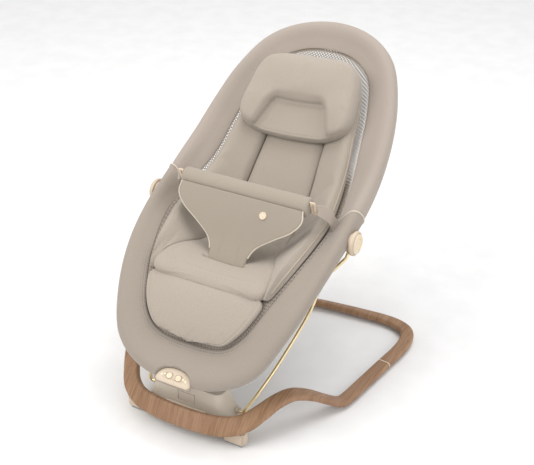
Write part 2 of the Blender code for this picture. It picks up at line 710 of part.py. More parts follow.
def make_spring(name, sign, start, end):
    """Button spring, drawn at its pressed length."""
    sides = 10
    last = SPRING_TURNS * sides
    points = []
    for k in range(last + 1):
        angle = 2 * math.pi * k / sides
        x = start + SPRING_WIRE_RADIUS + (end - start - 2 * SPRING_WIRE_RADIUS) * k / last
        points.append((sign * x, HUB_Y + SPRING_RADIUS * math.cos(angle),
                       HUB_Z + SPRING_RADIUS * math.sin(angle)))
    rod(name, points, SPRING_WIRE_RADIUS, STEEL, 1)


def make_wire():
    """One bent wire: across the pedestal on the hinge axis and up to both hubs."""
    elbow = bush_place() + WIRE_ELBOW
    hub_x = hub_face() + WIRE_RADIUS + HUB_RECESS
    route = []
    steps = 22
    for k in range(steps + 1):
        share, y, z = smooth_value(WIRE_ROUTE, (len(WIRE_ROUTE) - 1) * k / steps)
        route.append(Vector((elbow + (hub_x - elbow) * share, y, z)))
    reach = HUB_RADIUS + GAP * 2
    centre = Vector((hub_x, HUB_Y, HUB_Z))
    kept = [p for p in route if (p - centre).length > reach + 0.001]
    towards = (kept[-1] - centre).normalized()
    kept.append(centre + towards * reach)
    bend = WIRE_BEND
    corner = []
    for k in range(4):
        angle = math.pi / 2 * k / 4
        corner.append(Vector((elbow - bend + bend * math.sin(angle), WIRE_AXIS_Y,
                              WIRE_AXIS_Z + bend - bend * math.cos(angle))))
    right = corner + kept[2:]
    left = [Vector((-p.x, p.y, p.z)) for p in reversed(right)]
    rod("spring_wire", left + right, WIRE_RADIUS, GOLD)


# ---- sling, pads and pillow ---------------------------------------------------------

def make_sling():
    stations = spread(0.25, LAST - 0.25, 23)
    columns = spread(-0.985, 0.985, 13)
    slab("mesh_sling", sling_grid(stations, columns, -SLING_THICKNESS),
         sling_grid(stations, columns, 0.0), MESH_CLOTH)


def pad(name, first, last, left, right, thickness, rows, columns, coat, start=PAD_LIFT):
    stations = spread(first, last, rows)
    across = spread(left, right, columns)
    return slab(name, sling_grid(stations, across, start),
                sling_grid(stations, across, start + thickness), coat)


def make_pads():
    pad("leg_cushion", 0.5, KNEE_STATION, -0.93, 0.93, LEG_PAD_THICKNESS, 9, 9, BEIGE)
    seat = pad("seat_cushion", KNEE_STATION + 0.05, FOLD_STATION, -SEAT_SHARE, SEAT_SHARE,
               PAD_THICKNESS, 9, 9, BEIGE)
    fold = FOLD_STATION + 0.10
    pad("back_cushion", fold, 11.1, -BACK_SHARE, BACK_SHARE, PAD_THICKNESS, 11, 7, BEIGE)
    for side, sign in (("R", 1), ("L", -1)):
        pad("side_bolster_" + side, KNEE_STATION + 0.25, FOLD_STATION,
            sign * (SEAT_SHARE + SEAM_SHARE), sign * 0.93, WING_THICKNESS, 8, 5, BEIGE)
        pad("side_wing_" + side, fold, 10.6, sign * (BACK_SHARE + SEAM_SHARE), sign * 0.93,
            WING_THICKNESS, 10, 5, BEIGE)
    make_pillow()
    return seat


def make_pillow():
    """Head pillow: it follows the back at its rear and is flatter and fuller in front."""
    lift = PAD_LIFT + 0.002 + max(WING_THICKNESS, PAD_THICKNESS)
    low = []
    high = []
    for t in spread(0.0, 1.0, 8):
        back = []
        front = []
        for share in spread(-1.0, 1.0, 9):
            first = 8.55 - 0.40 * share ** 2
            last = 11.05 - 0.50 * share ** 4
            s = first + (last - first) * t
            u = share * PILLOW_SHARE
            fullness = PILLOW_THICKNESS * (1 - 0.45 * share ** 2)
            back.append(sling_point(s, u, lift))
            front.append(sling_point(s, u, lift + fullness))
        low.append(back)
        high.append(front)
    slab("head_pillow", low, high, BEIGE)


# ---- harness ------------------------------------------------------------------------

def make_harness(seat):
    cylinder("harness_roll", ROLL_RADIUS, 2 * ROLL_HALF_LENGTH, (0, ROLL_Y, ROLL_Z), TAUPE,
             sides=20, bevel=0.004)
    down = (Vector((0, CROTCH_Y, CROTCH_Z)) - Vector((0, ROLL_Y, ROLL_Z))).normalized()
    off = Vector((0, down.z, -down.y))
    if off.y > 0:
        off = -off
    start = Vector((0, ROLL_Y, ROLL_Z)) + down * (ROLL_RADIUS + GAP * 2) + off * 0.004
    length = (Vector((0, CROTCH_Y, CROTCH_Z)) - start).length - 0.004
    outline = [(0.0, 0.134), (0.17, 0.136), (0.34, 0.118), (0.50, 0.085), (0.66, 0.056),
               (0.80, 0.044), (1.0, CROTCH_HALF_WIDTH)]
    back = []
    front = []
    for share, half in outline:
        row = spread(-half, half, 7)
        back.append([start + down * (length * share) + Vector((x, 0, 0)) for x in row])
        front.append([p + off * CLOTH_THICKNESS for p in back[-1]])
    slab("crotch_panel", back, front, TAUPE)
    badge_turn = Vector((1, 0, 0)).rotation_difference(off).to_matrix().to_4x4()
    badge = start + down * (length * 0.21) + off * (CLOTH_THICKNESS + 0.001 + GAP)
    cylinder("panel_stud", STUD_RADIUS, 0.002, badge + Vector((0.056, 0, 0)), CREAM,
             badge_turn, sides=20)
    make_crotch_strap(seat, down, off)
    for side, sign in (("R", 1), ("L", -1)):
        make_side_strap(side, sign)


def make_crotch_strap(seat, down, off):
    """Webbing from the panel's lower edge down through the slot of the seat cushion."""
    top = Vector((0, CROTCH_Y, CROTCH_Z)) + off * 0.006
    low = top + down * 0.014
    size = (2 * CROTCH_HALF_WIDTH, CLOTH_THICKNESS, 0.012)
    turn = Matrix.Rotation(math.atan2(-down.y, -down.z) * -1, 4, "X")
    box("crotch_strap", size, (top + low) / 2, TAUPE, turn=turn)
    cut(seat, cutter_box("cut_crotch", (2 * CROTCH_HALF_WIDTH + 0.002, 0.018, 0.060),
                         (top + low) / 2))


def make_side_strap(side, sign):
    """Slot buckle at the roll's end, and webbing from it to the rim's tube."""
    buckle_x = ROLL_HALF_LENGTH + BUCKLE_WIDTH / 2 + GAP * 2
    turn = Matrix.Rotation(STRAP_LEAN, 4, "X")
    buckle = box("slot_buckle_" + side, (BUCKLE_WIDTH, BUCKLE_THICKNESS, BUCKLE_LENGTH),
                 (sign * buckle_x, ROLL_Y, ROLL_Z), CREAM, bevel=0.001, turn=turn)
    cut(buckle, cutter_box("cut_buckle_" + side,
                           (BUCKLE_SLOT, 0.020, BUCKLE_LENGTH - 2 * BUCKLE_END),
                           (sign * buckle_x, ROLL_Y, ROLL_Z), turn=turn))
    first = Vector((buckle_x + BUCKLE_WIDTH / 2 + WEBBING_THICKNESS + BUCKLE_SWING,
                    ROLL_Y, ROLL_Z))
    goal = rim_edge(RIM_INNER, 5.75) + Vector((-0.004, 0.0, 0.012))
    ends = [first, first.lerp(goal, 0.5) + Vector((0.004, 0, 0.003)), goal]
    back = []
    front = []
    for k in range(7):
        spot = smooth_value(ends, 2 * k / 6)
        ahead = smooth_value(ends, min(2 * k / 6 + 0.1, 2)) - smooth_value(
            ends, max(2 * k / 6 - 0.1, 0))
        edge = Vector((0, -math.sin(STRAP_LEAN), math.cos(STRAP_LEAN)))
        edge = (edge - ahead.normalized() * edge.dot(ahead.normalized())).normalized()
        thick = ahead.cross(edge).normalized() * WEBBING_THICKNESS
        row = [spot + edge * (WEBBING_WIDTH * f) for f in (-0.5, 0.5)]
        back.append([Vector((p.x * sign, p.y, p.z)) for p in row])
        front.append([Vector(((p + thick).x * sign, (p + thick).y, (p + thick).z))
                      for p in row])
    slab("side_strap_" + side, back, front, TAUPE)


# ---- control unit -------------------------------------------------------------------

def unit_turn():
    """Local X across, local Y out of the panel's face, local Z up along the face."""
    out = Vector((0, -math.cos(UNIT_TILT), math.sin(UNIT_TILT)))
    up = Vector((0, math.sin(UNIT_TILT), math.cos(UNIT_TILT)))
    return Matrix(((-1, 0, 0, 0), (0, out.y, up.y, 0), (0, out.z, up.z, 0), (0, 0, 0, 1)))


def unit_spot(x, out, up):
    return Vector((0, UNIT_Y, UNIT_Z)) + unit_turn().to_3x3() @ Vector((-x, out, up))


def half_moon(half_width, height, steps=14):
    """Outline with a straight lower edge and an arched upper edge, as (u, v)."""
    corner = 0.005
    outline = [(-half_width + corner, -height * 0.4), (half_width - corner, -height * 0.4)]
    for k in range(steps + 1):
        angle = math.pi * k / steps
        wide = abs(math.cos(angle)) ** 0.85 * math.copysign(1, math.cos(angle))
        outline.append((half_width * wide,
                        -height * 0.22 + height * 0.82 * math.sin(angle) ** 0.9))
    return outline


def plate(name, outline, out_low, out_high, coat):
    rings = [[unit_spot(u, out, v) for u, v in outline] for out in (out_low, out_high)]
    return loft(name, rings, coat)


def make_control_unit(pads):
    turn = unit_turn()
    panel = plate("control_panel", half_moon(PANEL_HALF_WIDTH, PANEL_HEIGHT), 0.0,
                  PANEL_THICKNESS, CREAM)
    case_width = 2 * PANEL_HALF_WIDTH - 0.016
    case = box("control_case", (case_width, CASE_DEPTH, CASE_HEIGHT),
               unit_spot(0, -CASE_DEPTH / 2 - GAP, CASE_MID), CREAM, bevel=0.002, turn=turn)
    room = (case_width - 2 * CASE_WALL, CASE_DEPTH, CASE_HEIGHT - 2 * CASE_WALL)
    cut(case, cutter_box("cut_case", room,
                         unit_spot(0, -CASE_DEPTH / 2 + CASE_WALL, CASE_MID), turn))
    around = [(u * 1.035, v * 1.06) for u, v in half_moon(PANEL_HALF_WIDTH, PANEL_HEIGHT)]
    notch = plate("cut_notch", around, -CASE_DEPTH - 0.002, 0.030, STEEL)
    cut(pads["rim_pad_lower"], as_cutter(notch))
    box("control_board", (case_width - 2 * CASE_WALL - 0.002, 0.0014, 0.0145),
        unit_spot(0, -0.004, CASE_MID), BOARD, turn=turn)
    for name, x in (("power_button", -KEY_SPACING / 2), ("mode_button", KEY_SPACING / 2)):
        cylinder(name, KEY_RADIUS, KEY_DEPTH, unit_spot(x, PANEL_THICKNESS, 0.003), GOLD,
                 turn @ Matrix.Rotation(math.pi / 2, 4, "Z"), sides=20, bevel=0.0004)
        cut(panel, cutter_cylinder("cut_" + name, KEY_RADIUS + 0.0004, 0.030,
                                   unit_spot(x, 0, 0.003),
                                   turn @ Matrix.Rotation(math.pi / 2, 4, "Z"), sides=20))
    cylinder("vibration_motor", MOTOR_RADIUS, MOTOR_LENGTH,
             unit_spot(MOTOR_X, MOTOR_OUT, CASE_MID), STEEL, sides=20, bevel=0.0006)
    make_motor_weight(unit_spot(MOTOR_X, MOTOR_OUT, CASE_MID))
    box("battery_pack", (0.028, 0.0105, 0.0145), unit_spot(0.0135, MOTOR_OUT, CASE_MID), DARK,
        bevel=0.001, turn=turn)


def make_motor_weight(centre):
    """Eccentric weight beside the motor: a half disc that turns about the motor's axis."""
    start = centre.x - MOTOR_LENGTH / 2 - 3 * GAP
    rings = []
    for x in (start - WEIGHT_THICKNESS, start):
        ring = []
        for k in range(9):
            angle = math.pi + math.pi * k / 8
            ring.append(Vector((x, centre.y + WEIGHT_RADIUS * math.cos(angle),
                                centre.z + WEIGHT_RADIUS * math.sin(angle))))
        ring.append(Vector((x, centre.y + 0.0012, centre.z + 0.0012)))
        ring.append(Vector((x, centre.y - 0.0012, centre.z + 0.0012)))
        rings.append(ring)
    loft("motor_weight", rings, STEEL)


def hang(name, place, names, under=None):
    """Empty on a joint's axis, which carries the pieces that turn about it."""
    pivot = bpy.data.objects.new(name, None)
    PARTS.objects.link(pivot)
    pivot.location = place
    if under:
        pivot.parent = under
        pivot.location = Vector(place) - CARRIED[under.name]
    CARRIED[name] = Vector(place)
    for piece in names:
        bpy.data.objects[piece].parent = pivot
        bpy.data.objects[piece].location -= Vector(place)
    return pivot


CARRIED = {}
SPRING_FRAME = ("spring_wire", "hub_housing_R", "hub_housing_L", "button_spring_R",
                "button_spring_L", "recline_button_R", "recline_button_L")
HARNESS = ("harness_roll", "crotch_panel", "slot_buckle_R", "slot_buckle_L", "panel_stud")
SEAT_PIECES = ("hub_boss_R", "hub_boss_L", "rim_pad_lower", "rim_pad_upper",
               "seat_tube_lower", "seat_tube_upper", "mesh_sling", "leg_cushion",
               "seat_cushion", "back_cushion", "side_bolster_R", "side_bolster_L",
               "side_wing_R", "side_wing_L", "head_pillow", "side_strap_R", "side_strap_L",
               "crotch_strap", "control_case", "control_panel", "control_board",
               "power_button", "mode_button", "vibration_motor", "motor_weight",
               "battery_pack")

make_band()
make_feet()
make_pedestal()
make_wire()
PADS = make_rim()
make_hubs(PADS)
make_sling()
SEAT = make_pads()
make_harness(SEAT)
make_control_unit(PADS)
FRAME_PIVOT = hang("spring_frame", (0, WIRE_AXIS_Y, WIRE_AXIS_Z), SPRING_FRAME)
SEAT_PIVOT = hang("seat", (0, HUB_Y, HUB_Z), SEAT_PIECES, FRAME_PIVOT)
hang("harness", (0, CROTCH_Y, CROTCH_Z), HARNESS, SEAT_PIVOT)
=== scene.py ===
"""Looks of the bouncer seat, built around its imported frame. Metres, the frame's own axes."""
import math

import bmesh
import bpy
import numpy as np
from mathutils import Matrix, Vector, noise
from mathutils.bvhtree import BVHTree


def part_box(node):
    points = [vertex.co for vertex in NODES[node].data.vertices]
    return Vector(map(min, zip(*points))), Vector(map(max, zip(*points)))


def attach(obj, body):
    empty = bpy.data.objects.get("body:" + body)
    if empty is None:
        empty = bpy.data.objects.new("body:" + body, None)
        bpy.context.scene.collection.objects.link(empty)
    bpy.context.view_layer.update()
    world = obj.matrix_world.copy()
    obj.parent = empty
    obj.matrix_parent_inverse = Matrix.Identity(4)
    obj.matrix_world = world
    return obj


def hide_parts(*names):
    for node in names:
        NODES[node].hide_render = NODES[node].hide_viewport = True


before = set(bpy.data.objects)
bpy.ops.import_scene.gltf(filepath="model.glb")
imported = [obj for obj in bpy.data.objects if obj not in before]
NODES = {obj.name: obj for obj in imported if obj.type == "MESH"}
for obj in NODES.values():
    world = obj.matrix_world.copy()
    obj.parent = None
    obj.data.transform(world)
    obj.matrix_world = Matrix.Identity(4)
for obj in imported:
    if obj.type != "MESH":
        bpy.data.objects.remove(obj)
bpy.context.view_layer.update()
SCENE = bpy.context.scene
TAU = 2 * math.pi
SIDES = (("R", 1), ("L", -1))

# ---- sizes, as the frame has them -----------------------------------------------------

BASE_HALF_WIDTH = 0.272
BAND_THICKNESS = 0.014
RIM_HALF_WIDTH = 0.222
RIM_THICKNESS = 0.036
SEAM = 5.95                     # station of the joint between the rim's two covers
LAST = 12                       # station at the head end; station 0 is at the foot end
# share of the half width, y and z at each station of the rim
RIM_OUTER = [
    (0.000, -0.3450, 0.131), (0.390, -0.3350, 0.138), (0.680, -0.3020, 0.167),
    (0.840, -0.2470, 0.226), (0.930, -0.1830, 0.283), (0.974, -0.0990, 0.340),
    (0.975, 0.0020, 0.390), (0.966, 0.0870, 0.431), (0.925, 0.1650, 0.484),
    (0.838, 0.2250, 0.534), (0.668, 0.2840, 0.586), (0.375, 0.3250, 0.616),
    (0.000, 0.3440, 0.625)]
RIM_INNER = [
    (0.000, -0.2860, 0.186), (0.300, -0.2830, 0.192), (0.470, -0.2690, 0.218),
    (0.580, -0.2330, 0.256), (0.675, -0.1780, 0.296), (0.760, -0.0930, 0.334),
    (0.765, -0.0030, 0.358), (0.708, 0.0820, 0.396), (0.656, 0.1470, 0.457),
    (0.598, 0.2020, 0.508), (0.480, 0.2550, 0.552), (0.270, 0.2870, 0.574),
    (0.000, 0.2970, 0.580)]
SEAT_MIDDLE = np.array((0.0, -0.013, 0.38))
SLING_SHARE = 0.985             # how far the sling is drawn in towards the seat's middle
# y and z of the sling's middle line at each station
SLING_MIDDLE = [
    (-0.2860, 0.183), (-0.2810, 0.192), (-0.2630, 0.222), (-0.2290, 0.256), (-0.1780, 0.267),
    (-0.0980, 0.260), (-0.0230, 0.266), (0.0470, 0.305), (0.1170, 0.378), (0.1820, 0.450),
    (0.2370, 0.512), (0.2770, 0.556), (0.2950, 0.577)]
# the rim's section: share across it, share of its thickness
RIM_OUTLINE = [(0.0, -0.02), (0.15, 0.06), (0.36, 0.15), (0.60, 0.29), (0.80, 0.33),
               (0.95, 0.19), (1.0, -0.06), (0.97, -0.36), (0.86, -0.60), (0.68, -0.70),
               (0.46, -0.60), (0.24, -0.36), (0.08, -0.18)]
# share of the half width, y, z, width of the rail and its tilt in degrees
BAND_FRONT = [
    (0.000, -0.3330, 0.0450, 0.040, -60), (0.221, -0.3290, 0.0450, 0.040, -60),
    (0.368, -0.3190, 0.0470, 0.039, -54), (0.478, -0.2990, 0.0540, 0.037, -38),
    (0.548, -0.2730, 0.0670, 0.034, -24), (0.610, -0.2440, 0.0795, 0.032, -14),
    (0.676, -0.2120, 0.0820, 0.031, -8), (0.750, -0.1760, 0.0640, 0.030, -4),
    (0.824, -0.1390, 0.0350, 0.029, 0), (0.875, -0.1130, 0.0165, 0.029, 0),
    (0.901, -0.0900, 0.0125, 0.029, 0), (0.930, -0.0330, 0.0125, 0.029, 0),
    (0.971, 0.0510, 0.0125, 0.029, 0)]
BAND_REAR = [
    (0.971, 0.0510, 0.0125, 0.029, 0), (1.000, 0.1120, 0.0125, 0.029, 0),
    (0.996, 0.1550, 0.0125, 0.029, 0), (0.934, 0.1880, 0.0125, 0.029, 0),
    (0.779, 0.2030, 0.0125, 0.028, -4), (0.515, 0.2020, 0.0125, 0.027, -12),
    (0.239, 0.1950, 0.0130, 0.026, -18), (0.000, 0.1870, 0.0135, 0.026, -20)]
# share of the way from the pedestal out to the hub, y and z
WIRE_ROUTE = [
    (0.00, -0.2645, 0.0510), (0.04, -0.2590, 0.0610), (0.13, -0.2380, 0.0800),
    (0.26, -0.1770, 0.1210), (0.48, -0.1030, 0.2000), (0.61, -0.0780, 0.2650),
    (0.82, -0.0710, 0.2960), (1.00, -0.0650, 0.3220)]

# ---- camera, light and floor ----------------------------------------------------------


def aim(thing, place, goal):
    """Puts a lamp or camera at a place, looking at the goal."""
    thing.location = place
    thing.rotation_euler = (Vector(goal) - Vector(place)).to_track_quat("-Z", "Y").to_euler()
    SCENE.collection.objects.link(thing)


def make_camera():
    eye = Vector((0.9545, -1.7022, 1.4106))
    azimuth, elevation = math.radians(29), math.radians(30)
    back = Vector((math.sin(azimuth) * math.cos(elevation),
                   -math.cos(azimuth) * math.cos(elevation), math.sin(elevation)))
    camera = bpy.data.objects.new("camera", bpy.data.cameras.new("camera"))
    aim(camera, eye, eye - back)
    camera.data.sensor_width = 36.0
    camera.data.lens = 74.16
    camera.data.clip_start, camera.data.clip_end = 0.05, 50.0
    SCENE.camera = camera


def lamp(name, place, goal, size, power, colour=(1.0, 1.0, 1.0)):
    data = bpy.data.lights.new(name, "AREA")
    data.shape = "RECTANGLE"
    data.size, data.size_y = size
    data.energy = power
    data.color = colour
    aim(bpy.data.objects.new(name, data), place, goal)


make_camera()
lamp("key", (-1.3, -1.9, 2.3), (0, 0, 0.3), (1.8, 1.4), 42, (1.0, 0.985, 0.96))
lamp("top", (0.3, 0.6, 2.9), (0, 0, 0.2), (2.6, 2.2), 40)
lamp("side", (2.4, -0.6, 1.3), (0, 0, 0.3), (1.4, 1.4), 14)
WORLD = bpy.data.worlds.new("world")
WORLD.use_nodes = True
WORLD.node_tree.nodes["Background"].inputs[0].default_value = (1.0, 1.0, 1.0, 1.0)
WORLD.node_tree.nodes["Background"].inputs[1].default_value = 0.74
SCENE.world = WORLD
SCENE.view_settings.view_transform = "Standard"

# ---- materials ------------------------------------------------------------------------


class Coat:
    """A material under construction, with short words for the nodes used here."""

    def __init__(self, name, colour, roughness=0.6, metallic=0.0, **sockets):
        self.made = bpy.data.materials.new(name)
        self.made.use_nodes = True
        self.tree = self.made.node_tree
        self.shader = self.tree.nodes["Principled BSDF"]
        self.shader.inputs["Base Color"].default_value = (*colour, 1.0)
        self.shader.inputs["Roughness"].default_value = roughness
        self.shader.inputs["Metallic"].default_value = metallic
        for key, value in sockets.items():
            self.shader.inputs[key.replace("_", " ")].default_value = value
        self.bumps = None

    def node(self, kind, **values):
        node = self.tree.nodes.new(kind)
        for key, value in values.items():
            setattr(node, key, value)
        return node

    def link(self, one, two):
        self.tree.links.new(one, two)

    def feed(self, socket, value):
        if isinstance(value, (int, float, tuple)):
            socket.default_value = value
        else:
            self.link(value, socket)

    def math(self, operation, a, b=0.0):
        node = self.node("ShaderNodeMath", operation=operation)
        self.feed(node.inputs[0], a)
        self.feed(node.inputs[1], b)
        return node.outputs[0]

    def coords(self, kind="Object", scale=(1, 1, 1)):
        source = self.node("ShaderNodeTexCoord")
        mapping = self.node("ShaderNodeMapping")
        mapping.inputs["Scale"].default_value = scale
        self.link(source.outputs[kind], mapping.inputs["Vector"])
        return mapping.outputs[0]

    def noise(self, vector, scale, detail=2.0, rough=0.5):
        node = self.node("ShaderNodeTexNoise")
        self.link(vector, node.inputs["Vector"])
        node.inputs["Scale"].default_value = scale
        node.inputs["Detail"].default_value = detail
        node.inputs["Roughness"].default_value = rough
        return node.outputs["Fac"]

    def wave(self, vector, scale, direction, distortion):
        node = self.node("ShaderNodeTexWave", bands_direction=direction, wave_profile="SIN")
        self.link(vector, node.inputs["Vector"])
        node.inputs["Scale"].default_value = scale
        node.inputs["Distortion"].default_value = distortion
        return node.outputs["Fac"]

    def mix(self, share, one, two):
        node = self.node("ShaderNodeMix", data_type="RGBA")
        self.feed(node.inputs["Factor"], share)
        self.feed(node.inputs[6], (*one, 1.0) if isinstance(one, tuple) else one)
        self.feed(node.inputs[7], (*two, 1.0) if isinstance(two, tuple) else two)
        return node.outputs[2]

    def ramp(self, value, low, high, out_low=0.0, out_high=1.0):
        node = self.node("ShaderNodeMapRange", interpolation_type="SMOOTHSTEP")
        self.feed(node.inputs["Value"], value)
        for socket, number in zip(node.inputs[1:5], (low, high, out_low, out_high)):
            socket.default_value = number
        return node.outputs["Result"]

    def paint(self, colour):
        self.link(colour, self.shader.inputs["Base Color"])

    def rough(self, value):
        self.link(value, self.shader.inputs["Roughness"])

    def bump(self, height, distance, strength=1.0):
        node = self.node("ShaderNodeBump")
        node.inputs["Strength"].default_value = strength
        node.inputs["Distance"].default_value = distance
        self.link(height, node.inputs["Height"])
        if self.bumps is not None:
            self.link(self.bumps, node.inputs["Normal"])
        self.bumps = node.outputs[0]
        self.link(self.bumps, self.shader.inputs["Normal"])


def shade(colour, share):
    return tuple(c * share for c in colour)


def cloth(name, colour, pitch, depth=0.00022, melange=0.10, dots=False):
    """Knit or woven cloth in UV metres: crossing threads, melange, and faint slubs."""
    coat = Coat(name, colour, 0.88, Sheen_Weight=0.25, Sheen_Roughness=0.45,
                Specular_IOR_Level=0.25)
    uv = coat.coords("UV")
    turns = TAU / pitch / 20.0
    warp = coat.wave(uv, turns, "X", 0.6)
    weft = coat.wave(uv, turns, "Y", 0.6)
    threads = coat.math("MULTIPLY", warp, weft)
    slub = coat.noise(coat.coords("UV", (1.0, 6.0, 1.0)), 260, 3)
    flecks = coat.noise(uv, 900, 2)
    cloudy = coat.noise(coat.coords("Object"), 9, 3)
    spread = coat.math("ADD", coat.math("MULTIPLY", slub, 0.5),
                       coat.math("MULTIPLY", flecks, 0.5))
    base = coat.mix(coat.ramp(spread, 0.35, 0.65), shade(colour, 1 - melange),
                    shade(colour, 1 + melange))
    base = coat.mix(coat.ramp(threads, 0.0, 0.7, 0.16, 0.0), base, shade(colour, 0.55))
    base = coat.mix(coat.ramp(cloudy, 0.35, 0.7, 0.0, 0.10), base, shade(colour, 0.80))
    if dots:
        base = perforate(coat, base, colour)
    coat.paint(base)
    coat.rough(coat.ramp(spread, 0.3, 0.7, 0.80, 0.95))
    coat.bump(threads, depth, 0.6)
    coat.bump(spread, depth * 1.4, 0.35)
    return coat.made


def perforate(coat, base, colour):
    """Small knitted-in holes that grow fewer and smaller away from the cover's inner edge."""
    split = coat.node("ShaderNodeSeparateXYZ")
    coat.link(coat.coords("UV"), split.inputs[0])
    along, across = split.outputs[0], split.outputs[1]
    row = coat.math("DIVIDE", across, 0.0052)
    shift = coat.math("MULTIPLY", coat.math("FLOOR", row), 0.5)
    column = coat.math("ADD", coat.math("DIVIDE", along, 0.0036), shift)
    u = coat.math("ABSOLUTE", coat.math("SUBTRACT", coat.math("FRACT", column), 0.5))
    v = coat.math("ABSOLUTE", coat.math("SUBTRACT", coat.math("FRACT", row), 0.5))
    reach = coat.math("ADD", coat.math("MULTIPLY", u, 1.25), coat.math("MULTIPLY", v, 0.75))
    patchy = coat.noise(coat.coords("UV"), 60, 2)
    edge = coat.math("ADD", across, coat.math("MULTIPLY", patchy, 0.012))
    size = coat.ramp(edge, 0.004, 0.031, 0.36, -0.02)
    hole = coat.math("LESS_THAN", reach, size)
    foot = coat.ramp(coat.math("ABSOLUTE", along), 0.20, 0.27, 0.85, 0.0)
    return coat.mix(coat.math("MULTIPLY", hole, foot), base, shade(colour, 0.30))


def plastic(name, colour, roughness=0.42):
    coat = Coat(name, colour, roughness, Specular_IOR_Level=0.45)
    spot = coat.coords("Object")
    fine = coat.noise(spot, 1400, 2)
    broad = coat.noise(spot, 14, 3)
    coat.paint(coat.mix(coat.ramp(broad, 0.3, 0.7), shade(colour, 0.975), shade(colour, 1.015)))
    coat.rough(coat.ramp(broad, 0.3, 0.7, roughness - 0.05, roughness + 0.07))
    coat.bump(fine, 0.00006, 0.4)
    return coat.made


def rubber(name, colour):
    coat = Coat(name, colour, 0.75)
    grain = coat.noise(coat.coords("Object"), 700, 3)
    coat.paint(coat.mix(coat.ramp(grain, 0.3, 0.7), shade(colour, 0.88), shade(colour, 1.08)))
    coat.rough(coat.ramp(grain, 0.3, 0.7, 0.66, 0.85))
    coat.bump(grain, 0.00015, 0.5)
    return coat.made


def metal(name, colour, roughness, brush=(1, 1, 1)):
    coat = Coat(name, colour, roughness, 1.0)
    lines = coat.noise(coat.coords("Object", brush), 500, 3)
    broad = coat.noise(coat.coords("Object"), 24, 2)
    coat.paint(coat.mix(coat.ramp(broad, 0.3, 0.7), shade(colour, 0.93), shade(colour, 1.04)))
    coat.rough(coat.ramp(lines, 0.3, 0.7, roughness - 0.06, roughness + 0.10))
    coat.bump(lines, 0.00003, 0.35)
    return coat.made


def walnut(name):
    """Wood film: fine streaks and pores, upright on the front and along the rails."""
    dark, mid, pale = (0.140, 0.070, 0.034), (0.265, 0.143, 0.072), (0.360, 0.215, 0.120)
    coat = Coat(name, mid, 0.5, Specular_IOR_Level=0.4)
    streaks = coat.noise(coat.coords("Object", (1.0, 0.045, 0.06)), 420, 5, 0.62)
    figure = coat.noise(coat.coords("Object", (1.0, 0.10, 0.10)), 62, 4, 0.6)
    pores = coat.noise(coat.coords("Object", (1.0, 0.030, 0.030)), 1300, 2, 0.5)
    broad = coat.noise(coat.coords("Object"), 11, 2)
    base = coat.mix(coat.ramp(figure, 0.32, 0.68), mid, pale)
    base = coat.mix(coat.ramp(streaks, 0.44, 0.66, 0.0, 0.45), base, dark)
    base = coat.mix(coat.ramp(pores, 0.60, 0.72, 0.0, 0.55), base, shade(dark, 0.6))
    base = coat.mix(coat.ramp(broad, 0.35, 0.7, 0.0, 0.28), base, (0.340, 0.195, 0.130))
    coat.paint(base)
    coat.rough(coat.ramp(streaks, 0.3, 0.7, 0.42, 0.58))
    coat.bump(streaks, 0.00012, 0.35)
    coat.bump(pores, 0.00008, 0.3)
    return coat.made


TAUPE = cloth("taupe_knit_upper", (0.400, 0.340, 0.294), 0.0012)
TAUPE_LOWER = cloth("taupe_knit_lower", (0.346, 0.296, 0.251), 0.0012, dots=True)
BEIGE = cloth("beige_melange", (0.409, 0.356, 0.299), 0.0016, 0.00030, 0.13)
HARNESS = cloth("taupe_twill", (0.371, 0.320, 0.262), 0.0009, 0.00016, 0.07)
WEBBING = cloth("taupe_webbing", (0.510, 0.436, 0.370), 0.0018, 0.00040, 0.08)
PIPING = cloth("cream_piping", (0.680, 0.605, 0.508), 0.0010, 0.00020, 0.05)
SEAM_CLOTH = cloth("beige_piping", (0.467, 0.403, 0.326), 0.0010, 0.00020, 0.06)
NET = cloth("mesh_yarn", (0.320, 0.270, 0.217), 0.0008, 0.00012, 0.12)
CREAM = plastic("cream_plastic", (0.588, 0.484, 0.372))
PEDESTAL = plastic("pedestal_plastic", (0.572, 0.504, 0.418), 0.48)
PALE = plastic("pale_cream_plastic", (0.714, 0.593, 0.449), 0.36)
LINE = plastic("grey_line", (0.300, 0.285, 0.270), 0.6)
DARK = plastic("dark_plastic", (0.030, 0.030, 0.032), 0.5)
SOLE = rubber("grey_rubber", (0.360, 0.370, 0.375))
GOLD = metal("satin_gold", (0.900, 0.740, 0.450), 0.38)
STEEL = metal("plain_steel", (0.550, 0.550, 0.560), 0.35, (0.1, 1, 1))
BOARD = plastic("board_green", (0.030, 0.160, 0.070), 0.45)
WOOD = walnut("walnut_film")
FLOOR = plastic("floor", (0.86, 0.86, 0.86), 0.9)

# ---- surfaces -------------------------------------------------------------------------


def smooth(points, s):
    """Points at the stations s of the smooth curve through the points."""
    p = np.asarray(points, float)
    s = np.clip(np.asarray(s, float), 0, len(p) - 1)
    i = np.minimum(s.astype(int), len(p) - 2)
    f = (s - i)[..., None]
    q = np.vstack([2 * p[:1] - p[1:2], p, 2 * p[-1:] - p[-2:-1]])
    a, b, c, d = q[i], q[i + 1], q[i + 2], q[i + 3]
    return 0.5 * (2 * b + (c - a) * f + (2 * a - 5 * b + 4 * c - d) * f * f
                  + (3 * b - a - 3 * c + d) * f ** 3)


def ring_through(points, count):
    """Closed smooth path through a ring of points."""
    return smooth(points + points[:1], np.linspace(0, len(points), count))[:-1]


def unit(v):
    return v / np.maximum(np.linalg.norm(v, axis=-1, keepdims=True), 1e-12)


